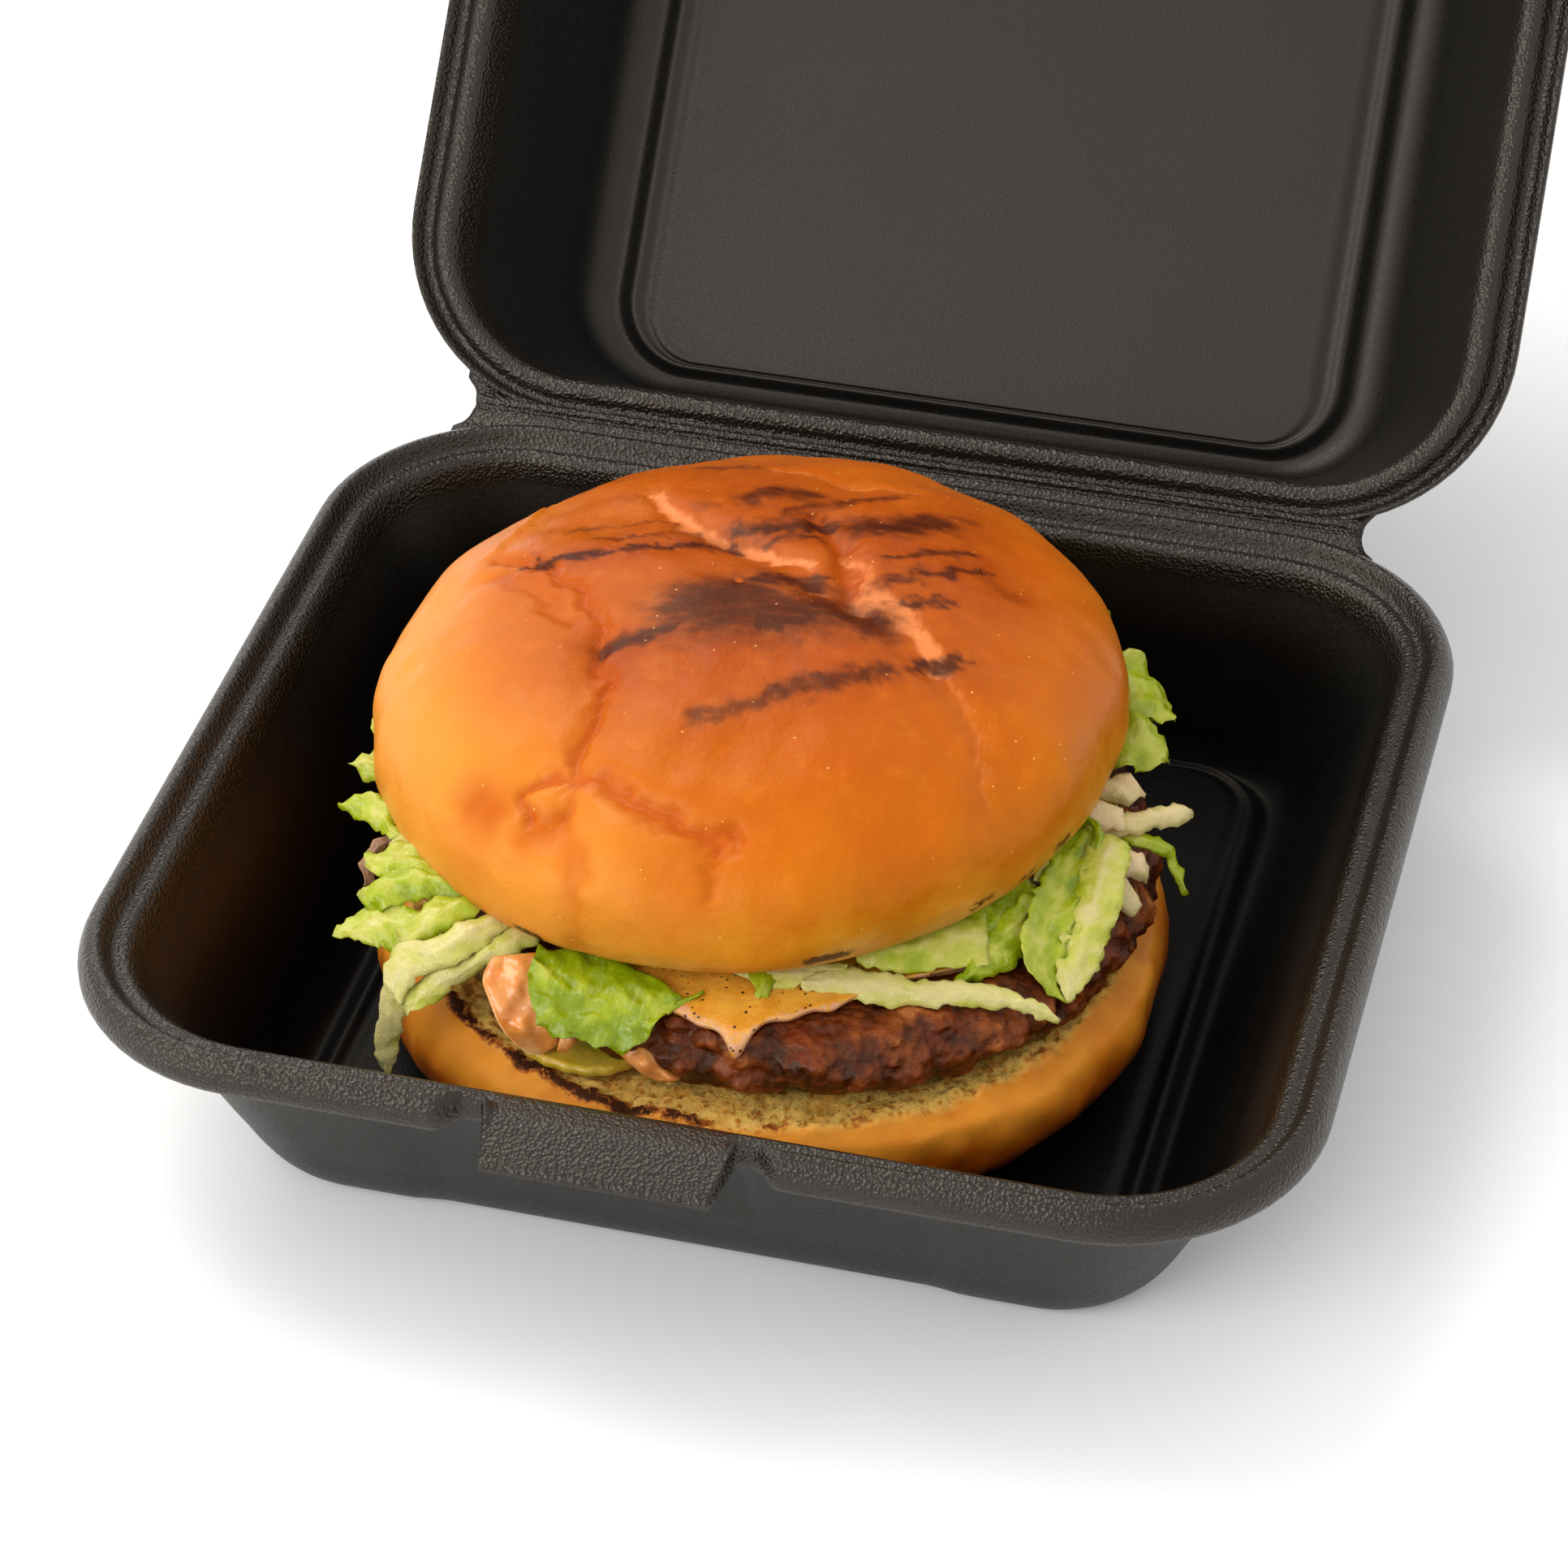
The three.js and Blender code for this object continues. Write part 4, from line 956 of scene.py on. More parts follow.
# The bun's front keeps clear of the tray's front wall: the wall's y at a height, its lean, the gap.
FRONT_WALL_Y, FRONT_WALL_AT, FRONT_WALL_LEAN, FRONT_GAP = -50.3, 9.5, 0.442, 0.45
# Darker spots of the toasted edge beside its long front one: degrees, half width, strength.
TOAST_SPOTS = [(285, 3.5, 0.55), (298, 2.2, 0.6), (318, 3, 0.45), (330, 4, 0.5), (205, 5, 0.5)]
TOAST_LEAST = 0.16


def bun_rows(angle):
    """Radius and height round the bun for each row of its section."""
    rim = BUN_CUT_Z + 0.5 + 0.7 * np.cos(angle - math.radians(165)) + 0.25 * ripple(angle, 3, 3, 4)
    bulge = 0.9 * ripple(angle, 5, 2, 3) - 0.4 * np.cos(angle + math.radians(50))
    z = BUN_BOTTOM_Z
    rows = [(12, z), (30, z), (38.5 + 0.3 * bulge, z + 0.5), (45.3 + 0.7 * bulge, z + 3.2),
            (48.8 + bulge, z + 7), (BUN_RADIUS + bulge, z + 11), (48.6 + 0.8 * bulge, z + 14.6),
            (46.6, rim - 0.7), (44.8, rim), (42.2, rim - 0.5),
            (34, BUN_CUT_Z - 0.2 + 0.15 * ripple(angle, 9, 2, 3)), (18, BUN_MIDDLE_Z)]
    flat = np.ones_like(angle)
    return np.array([np.stack([radius * flat, height * flat], -1) for radius, height in rows])


def build_lower_bun():
    angle = angles(BUN_AROUND)
    rows = bun_rows(angle)
    mean = rows.mean(1)
    # Each row goes with its mean, along which all of them are refined alike.
    fine = hermite(np.concatenate([mean, rows.reshape(len(rows), -1)], 1), [0, 1], 0.75)
    count = len(fine)
    rings, mean = fine[:, 2:].reshape(count, BUN_AROUND, 2), fine[:, :2]
    points = circle(rings[:, :, 0], angle, rings[:, :, 1]).reshape(-1, 3)
    peak = int(np.argmax(mean[:, 1] - np.where(mean[:, 0] < 40, 9, 0)))
    index = np.repeat(np.arange(count), BUN_AROUND)
    cut = smoothstep(index, peak - 2.0, peak + 1.0)
    ridge = bell(index, peak, 2.5)
    rough = np.abs(waves(points, 2.2, 21)) * 0.5 + np.abs(waves(points, 0.9, 22)) * 0.35
    lift = cut * (0.55 - rough) * 1.2
    lift += ridge * (0.5 * waves(points, 7, 23) + 0.3 * waves(points, 2.5, 24))
    side = (1 - cut) * (0.35 * waves(points, 15, 25) + 0.12 * waves(points, 5, 26))
    points[:, :2] *= (1 + side * smoothstep(points[:, 2], 4.5, 8) / 47)[:, None]
    points[:, 2] += lift * smoothstep(off_axis(points), 30, 40)
    points[:, 2] = np.minimum(points[:, 2], BUN_HIGHEST)
    wall = FRONT_WALL_Y - FRONT_WALL_LEAN * (points[:, 2] - FRONT_WALL_AT) + FRONT_GAP - BUN_Y
    points[:, 1] = np.where(points[:, 1] < 0, np.maximum(points[:, 1], wall), points[:, 1])
    body = end_points(points, BUN_BOTTOM_Z, BUN_MIDDLE_Z) + np.array([BUN_X, BUN_Y, 0])
    obj = add_food("bun_heel", body, BUN_AROUND, heel_material(), "bun_bottom")
    paint(obj, "cut", end_values(cut, 0, 1))
    paint(obj, "toast", end_values(bun_toast(points, index - peak), 0, 1))
    paint(obj, "side", end_values(smoothstep(points[:, 2], 3.5, 20), 0, 1))


def bun_toast(points, above_peak):
    """How dark the edge of the cut is toasted, most of all at the front left."""
    degrees = np.degrees(np.arctan2(points[:, 1], points[:, 0])) % 360
    front = smoothstep(degrees, 214, 224) * smoothstep(280 - degrees, 0, 9)
    for at, half, strength in TOAST_SPOTS:
        front = np.maximum(front, strength * bell(degrees, at, half))
    front = np.maximum(front, TOAST_LEAST)
    uneven = 0.95 + 0.28 * waves(points, 6, 27) + 0.25 * waves(points, 1.5, 28)
    return np.clip(bell(above_peak, 0.2, 1.5) * front * uneven, 0, 1.3)


def heel_material():
    p = Paint("heel_crust", 0.34, Specular_IOR_Level=0.2, Subsurface_Weight=0.03,
              Subsurface_Scale=0.003, Specular_Tint=(1, 0.78, 0.5, 1))
    side = p.math("ADD", p.attribute("side"), p.uneven(-0.1, 0.1, 8, 3))
    crust = p.ramp(side, [(0.0, srgb(92, 34, 3)), (0.35, srgb(136, 54, 4)),
                          (0.7, srgb(184, 88, 7)), (1.0, srgb(224, 142, 42))])
    crust = p.mix(p.span(p.noise(1.2, 4), 0.5, 0.8, 0, 0.25), crust, srgb(214, 126, 36))
    crust = p.mix(p.span(p.noise(14, 2), 0.45, 0.7, 0, 0.4), crust, srgb(150, 60, 4))
    pores = p.span(p.cells(1.3), 0.1, 0.5)
    crumb = p.mix(pores, srgb(208, 126, 36), srgb(255, 208, 106))
    crumb = p.mix(p.span(p.noise(3, 4), 0.45, 0.7, 0, 0.6), crumb, srgb(226, 148, 44))
    crumb = p.mix(p.span(p.noise(1.6, 4, 0.7), 0.56, 0.68, 0, 0.85), crumb, srgb(140, 70, 22))
    base = p.mix(p.attribute("cut"), crust, crumb)
    patchy = p.span(p.noise(0.9, 4, 0.7), 0.3, 0.6, 0.4, 1.3)
    toast = p.times(p.attribute("toast"), patchy)
    base = p.mix(p.span(toast, 0.18, 0.5), base, srgb(176, 96, 34))
    base = p.mix(p.span(toast, 0.42, 0.8), base, srgb(66, 30, 14))
    p.colour(base)
    dry = p.times(p.attribute("cut"), 0.35)
    p.rough(p.math("ADD", p.uneven(0.28, 0.42, 3, 3), dry))
    crumb_bump = p.times(p.attribute("cut"), p.noise(0.8, 5, 0.7))
    p.bump((p.noise(4, 3), 0.2), (crumb_bump, 0.8), (p.noise(0.6, 2), 0.03))
    return p.material


# ---- Patty, cheese, sauce and pickle

PATTY_AT = np.array([3.2, -0.8, 0])
PATTY_BOTTOM, PATTY_TOP, PATTY_RADIUS = 21.0, 29.5, 43.6
PATTY_FLAT_Z = PATTY_TOP - 0.15
PATTY_AROUND = 560
# How far the side draws in from its outline, at parts of the patty's height.
PATTY_SIDE = [(4.0, 0.02), (1.8, 0.08), (0.5, 0.26), (0, 0.48), (0.8, 0.7), (2.6, 0.88), (4.6, 0.96)]
GRAIN = 4.2  # size of the meat's lumps, which the cheese follows


def grains(points, size, seed):
    """Rounded grains: 1 in the middle of a cell, falling to about -0.6 in the gaps."""
    offset = Vector((seed * 7.3, seed * 3.1, seed * 5.7))
    near = [noise.voronoi(Vector(p) / size + offset)[0][0] for p in points.tolist()]
    return 1 - 1.9 * np.array(near)


def build_patty():
    height = PATTY_TOP - PATTY_BOTTOM
    angle = angles(PATTY_AROUND)
    rings = [circle(radius, angle, PATTY_BOTTOM) for radius in (20, 34)]
    for inset, rise in hermite(np.array(PATTY_SIDE) * [1, height], [0, 1], 0.42):
        level = rise / height
        lumps = 1.1 * ripple(angle, 2 + level, 4, 6) + 0.8 * ripple(angle, 7 + 3 * level, 11, 4)
        rings.append(circle(PATTY_RADIUS + lumps - inset, angle, PATTY_BOTTOM + rise))
    rings += [circle(radius, angle, PATTY_FLAT_Z) for radius in (37.0, 34.0, 30.0, 20.0)]
    points = np.concatenate(rings)
    coarse, small = grains(points, GRAIN, 1), grains(points, 1.7, 2)
    mask = smoothstep(off_axis(points), 33, 38)
    push_out(points, (1.3 * coarse + 0.5 * small + 0.35 * waves(points, 9, 31) - 0.3) * mask)
    points[:, 2] += 0.3 * coarse * mask * smoothstep(points[:, 2], 24, 28)
    body = end_points(points, PATTY_BOTTOM, PATTY_FLAT_Z) + PATTY_AT
    obj = add_food("patty_meat", body, PATTY_AROUND, patty_material(), "patty")
    # The lumps' mask, which the material uses to paint shade into the gaps between them.
    paint(obj, "grain", end_values(0.6 * coarse + 0.4 * small))


def patty_material():
    p = Paint("seared_meat", 0.38, Specular_IOR_Level=0.3, Coat_Weight=0.12, Coat_Roughness=0.14,
              Subsurface_Weight=0.04, Subsurface_Scale=0.001, Specular_Tint=(1, 0.8, 0.6, 1))
    uneven = p.uneven(-0.35, 0.35, 3.2, 4)
    # Painted shade: the meat is painted darker in the gaps between its lumps, and lighter on their
    # tops.
    tone = p.math("ADD", p.span(p.attribute("grain"), -0.6, 0.9), uneven)
    base = p.ramp(tone, [(0.0, srgb(58, 22, 4)), (0.4, srgb(98, 40, 6)),
                         (0.75, srgb(130, 62, 18)), (1.0, srgb(164, 94, 42))])
    base = p.mix(p.span(p.noise(6, 3), 0.5, 0.7, 0, 0.45), base, srgb(118, 42, 8))
    base = p.mix(p.span(p.noise(1.1, 3), 0.62, 0.8, 0, 0.35), base, srgb(40, 16, 8))
    p.colour(base)
    p.rough(p.span(p.noise(1.6, 4), 0.35, 0.65, 0.24, 0.55))
    p.bump((p.noise(1.5, 5, 0.65), 0.6), (p.cells(1.2, "SMOOTH_F1", smooth=0.3), 0.4))
    return p.material


CHEESE_AROUND, CHEESE_STEPS = 720, 26
CHEESE_TOP, CHEESE_BOTTOM, CHEESE_MIDDLE = 31.0, 29.7, 30.35
CHEESE_HALF = 0.62
CHEESE_SHOULDER = 4  # how much of the run lies flat before it falls
CHEESE_INNER = (12, 24, 30)
# Where the cheese runs over the patty's edge: degrees, half width, how far.
CHEESE_RUNS = [(268, 9, 2.6), (273, 2.4, 3.8), (281, 3, 1.0), (289, 3, 0.8), (344, 5, 3.0),
               (120, 30, 2), (258, 2.5, 1.0)]


def cheese_run(angle):
    """How far the cheese runs over the patty's shoulder."""
    run = 0.6 + sum(far * bell(np.degrees(angle), at, half) for at, half, far in CHEESE_RUNS)
    return np.maximum(run + 0.5 * ripple(angle, 6, 7, 4) + 0.35 * ripple(angle, 2, 31, 5), 0.3)


def build_cheese():
    angle = angles(CHEESE_AROUND)
    run = cheese_run(angle)
    start = 37.6 - 5.0 * bell(np.degrees(angle), 306, 22)
    top, bottom = [], []
    for part in np.arange(CHEESE_STEPS + 1) / CHEESE_STEPS:
        r = run * part
        past = r - CHEESE_SHOULDER
        radius = start + np.minimum(r, CHEESE_SHOULDER) * 1.05 + np.clip(past, 0, 3) * 0.75
        radius += 0.5 * ripple(angle, 2, 4, 5)
        half = CHEESE_HALF * math.sqrt(max(0.0, 1 - part**6))
        z = CHEESE_MIDDLE - (0.045 * r**2 + np.clip(past, 0, 6) * 0.45)
        top.append(circle(radius + half * 0.5 * part, angle, z + half))
        bottom.append(circle(radius - half * 0.7 * part, angle, z - half))
    lead = [circle(radius, angle, CHEESE_TOP) for radius in CHEESE_INNER]
    tail = [circle(radius, angle, CHEESE_BOTTOM) for radius in reversed(CHEESE_INNER)]
    rings = lead + top + bottom[-2::-1] + tail
    points = np.concatenate(rings)
    soft = smoothstep(off_axis(points), 33, 37)
    points[:, 2] += 0.22 * waves(points * [1, 1, 0.01], 4, 33) * soft
    meat = 0.5 * np.clip(grains(points, GRAIN, 1), -0.6, 1)
    push_out(points, meat * soft * smoothstep(-points[:, 2], -30.4, -28.5))
    body = end_points(points, CHEESE_TOP, CHEESE_BOTTOM) + PATTY_AT
    obj = add_food("cheese_melt", body, CHEESE_AROUND, cheese_material(), "cheese")
    rising = np.linspace(0, 1, CHEESE_STEPS + 1)
    inner = np.zeros(len(CHEESE_INNER))
    edge = np.concatenate([inner, rising, rising[-2::-1], inner])
    paint(obj, "edge", end_values(np.repeat(edge, CHEESE_AROUND)))


def cheese_material():
    p = Paint("melted_cheese", 0.3, Specular_IOR_Level=0.45, Subsurface_Weight=0.3,
              Subsurface_Scale=0.003, Coat_Weight=0.2, Coat_Roughness=0.2)
    p.shader.inputs["Subsurface Radius"].default_value = (1, 0.6, 0.2)
    base = p.ramp(p.noise(3, 3), [(0.3, srgb(214, 138, 26)), (0.7, srgb(232, 172, 62))])
    uneven = p.uneven(-0.3, 0.3, 1.6, 4)
    greasy = p.span(p.math("ADD", p.attribute("edge"), uneven), 0.6, 0.95)
    base = p.mix(p.times(greasy, 0.7), base, srgb(206, 152, 118))
    pepper = p.times(p.span(p.cells(1.2), 0.14, 0.2, 1, 0), p.span(p.noise(5, 2), 0.42, 0.5))
    base = p.mix(pepper, base, srgb(58, 34, 20))
    p.colour(base)
    p.rough(p.uneven(0.22, 0.4, 2, 3))
    p.bump((p.noise(1.8, 3), 0.25), (p.noise(0.5, 2), 0.05))
    return p.material


def blob(edge_a, edge_b, thickness, lumps, seed):
    """A rounded blob between two edge lines, swollen by thickness in the middle."""
    steps, across = 40, 22
    left, right = spline(edge_a, steps + 1), spline(edge_b, steps + 1)
    top, bottom = [], []
    for i in range(steps + 1):
        along = math.sqrt(max(0.0, 1 - abs(2 * i / steps - 1) ** 4))
        for j in range(across + 1):
            v = 2 * j / across - 1
            swell = thickness * along * math.sqrt(max(0.0, 1 - v * v))
            middle = left[i] * (1 - v) / 2 + right[i] * (1 + v) / 2
            top.append((middle, swell))
            bottom.append((middle, -swell * 0.5))
    flow = left[-1] - left[0] + right[-1] - right[0]
    side = right[steps // 2] - left[steps // 2]
    normal = np.cross(flow, side)
    normal /= np.linalg.norm(normal)
    if normal @ np.array([0, -1, 0.6]) < 0:
        normal = -normal
    points = np.array([m + normal * s for m, s in top + bottom])
    swells = np.array([abs(s) for _, s in top + bottom]) / thickness
    points += normal * (lumps * waves(points, 3.2, seed) * np.minimum(1, swells))[:, None]
    return points, sheet_faces(steps, across)


# Name, thickness and the two edge lines, from top to bottom.
SAUCE = [
    ("sauce_pool", 0.7, [(-26.6, -36.6, 31.2), (-26.8, -39.8, 30.2), (-25.4, -41.8, 28.6),
                         (-23.8, -43.2, 26.4), (-22.2, -43.5, 24.6), (-20.4, -43.5, 22.9)],
     [(-20.0, -34.4, 31.6), (-20.0, -37.4, 30.4), (-18.2, -39.6, 28.4), (-17.6, -41.3, 26.4),
      (-16.8, -42.2, 24.4), (-18.6, -43.2, 22.9)]),
    ("sauce_drop", 1.1, [(-17.2, -41.0, 27.5), (-16.4, -42.8, 26.0), (-16.6, -43.6, 24.2)],
     [(-14.8, -41.0, 27.5), (-14.2, -43.0, 26.0), (-15.4, -43.6, 24.2)]),
    ("sauce_run", 1.3, [(-11.0, -42.6, 26.5), (-7.6, -43.6, 24.2), (-5.0, -43.7, 22.6),
                        (-2.4, -42.9, 21.9)],
     [(-9.0, -41.6, 27.5), (-5.4, -42.4, 25.6), (-3.6, -42.6, 23.8), (-1.0, -42.2, 22.4)]),
]


def build_sauce():
    material = sauce_material()
    for number, (name, thickness, left, right) in enumerate(SAUCE):
        points, faces = blob(left, right, thickness, 0.45, 40 + number)
        replaced = ("sauce",) if name == "sauce_pool" else ()
        add_mesh(name, points, faces, material, "tray", replaced)


def sauce_material():
    p = Paint("pink_sauce", 0.22, Specular_IOR_Level=0.5, Subsurface_Weight=0.25,
              Subsurface_Scale=0.002, Coat_Weight=0.3, Coat_Roughness=0.1)
    base = p.ramp(p.noise(3, 4), [(0.3, srgb(212, 122, 38)), (0.55, srgb(230, 152, 76)),
                                  (0.75, srgb(238, 180, 122))])
    p.colour(base)
    p.rough(p.uneven(0.16, 0.34, 2, 3))
    p.bump((p.noise(2.4, 3), 0.25), (p.noise(0.7, 2), 0.05))
    return p.material


PICKLE_AT = np.array([-14.8, -35.1, 0])
PICKLE_RADIUS, PICKLE_LOW, PICKLE_HIGH = 9.5, 21.4, 22.9
PICKLE_AROUND = 160
# Parts of the radius and of the thickness.
PICKLE_SECTION = [
    (0.4, 0), (0.8, 0), (0.96, 0.02), (1.0, 0.3), (1.0, 0.7), (0.965, 0.98), (0.93, 1.0),
    (0.88, 0.9), (0.7, 0.86), (0.5, 0.84), (0.25, 0.88),
]


def build_pickle():
    angle = angles(PICKLE_AROUND)
    edge = 0.012 * np.sin(angle * 22) + 0.02 * np.sin(angle * 5 + 1)
    rings = []
    for part, level in PICKLE_SECTION:
        z = PICKLE_LOW + (PICKLE_HIGH - PICKLE_LOW) * level
        rings.append(circle(PICKLE_RADIUS * part * (1 + edge * part), angle, z))
    body = end_points(np.concatenate(rings), PICKLE_LOW, PICKLE_HIGH - 0.15) + PICKLE_AT
    add_food("pickle_slice", body, PICKLE_AROUND, pickle_material(), "pickle")


def pickle_material():
    p = Paint("pickled_cucumber", 0.25, Specular_IOR_Level=0.5, Subsurface_Weight=0.4,
              Subsurface_Scale=0.002)
    base = p.ramp(p.noise(2.4, 3), [(0.3, srgb(196, 164, 38)), (0.7, srgb(228, 192, 78))])
    base = p.mix(p.span(p.noise(7, 2), 0.5, 0.7, 0, 0.6), base, srgb(150, 148, 20))
    p.colour(base)
    p.rough(p.uneven(0.16, 0.34, 3, 3))
    p.bump((p.noise(1.4, 3), 0.2), (p.cells(1.8), 0.1))
    return p.material


# ---- Lettuce

LEAF_CELL = 0.55
LEAF_UPWARD = (-0.1, -0.5, 0.85)
BRANCH_GAP = 4.2
ROOT_LENGTH, ROOT_HIGHEST = 5, 32.4
CENTRE = np.array([-2.5, 3.0, 0])
BED_AROUND = 420
# Part of the bed's reach, and height.
BED_SECTION = [
    (0.3, 31.0), (0.6, 31.0), (0.85, 31.0), (0.95, 31.3), (0.99, 31.9), (1.0, 32.5),
    (0.985, 33.2), (0.95, 33.9), (0.9, 34.4), (0.8, 34.9), (0.6, 35.2), (0.3, 35.4),
]


def leaf(name, pale, bulge, ruffle, a, b, root=True, across=False, thick=0.36, sauced=0, red=0):
    """A leaf between two edge lines, a and b, that start at the crown's rim and end at its tip.
    pale is 1 for the white rib and 0 for the green blade, at the root and at the tip. Bulge and
    ruffle say how much it arches and waves, and thick is its thickness. A leaf with root goes on
    under the crown, and one with across waves mostly along b."""
    return dict(name=name, pale=pale, bulge=bulge, ruffle=ruffle, a=a, b=b, root=root,
                across=across, thick=thick, sauced=sauced, red=red)


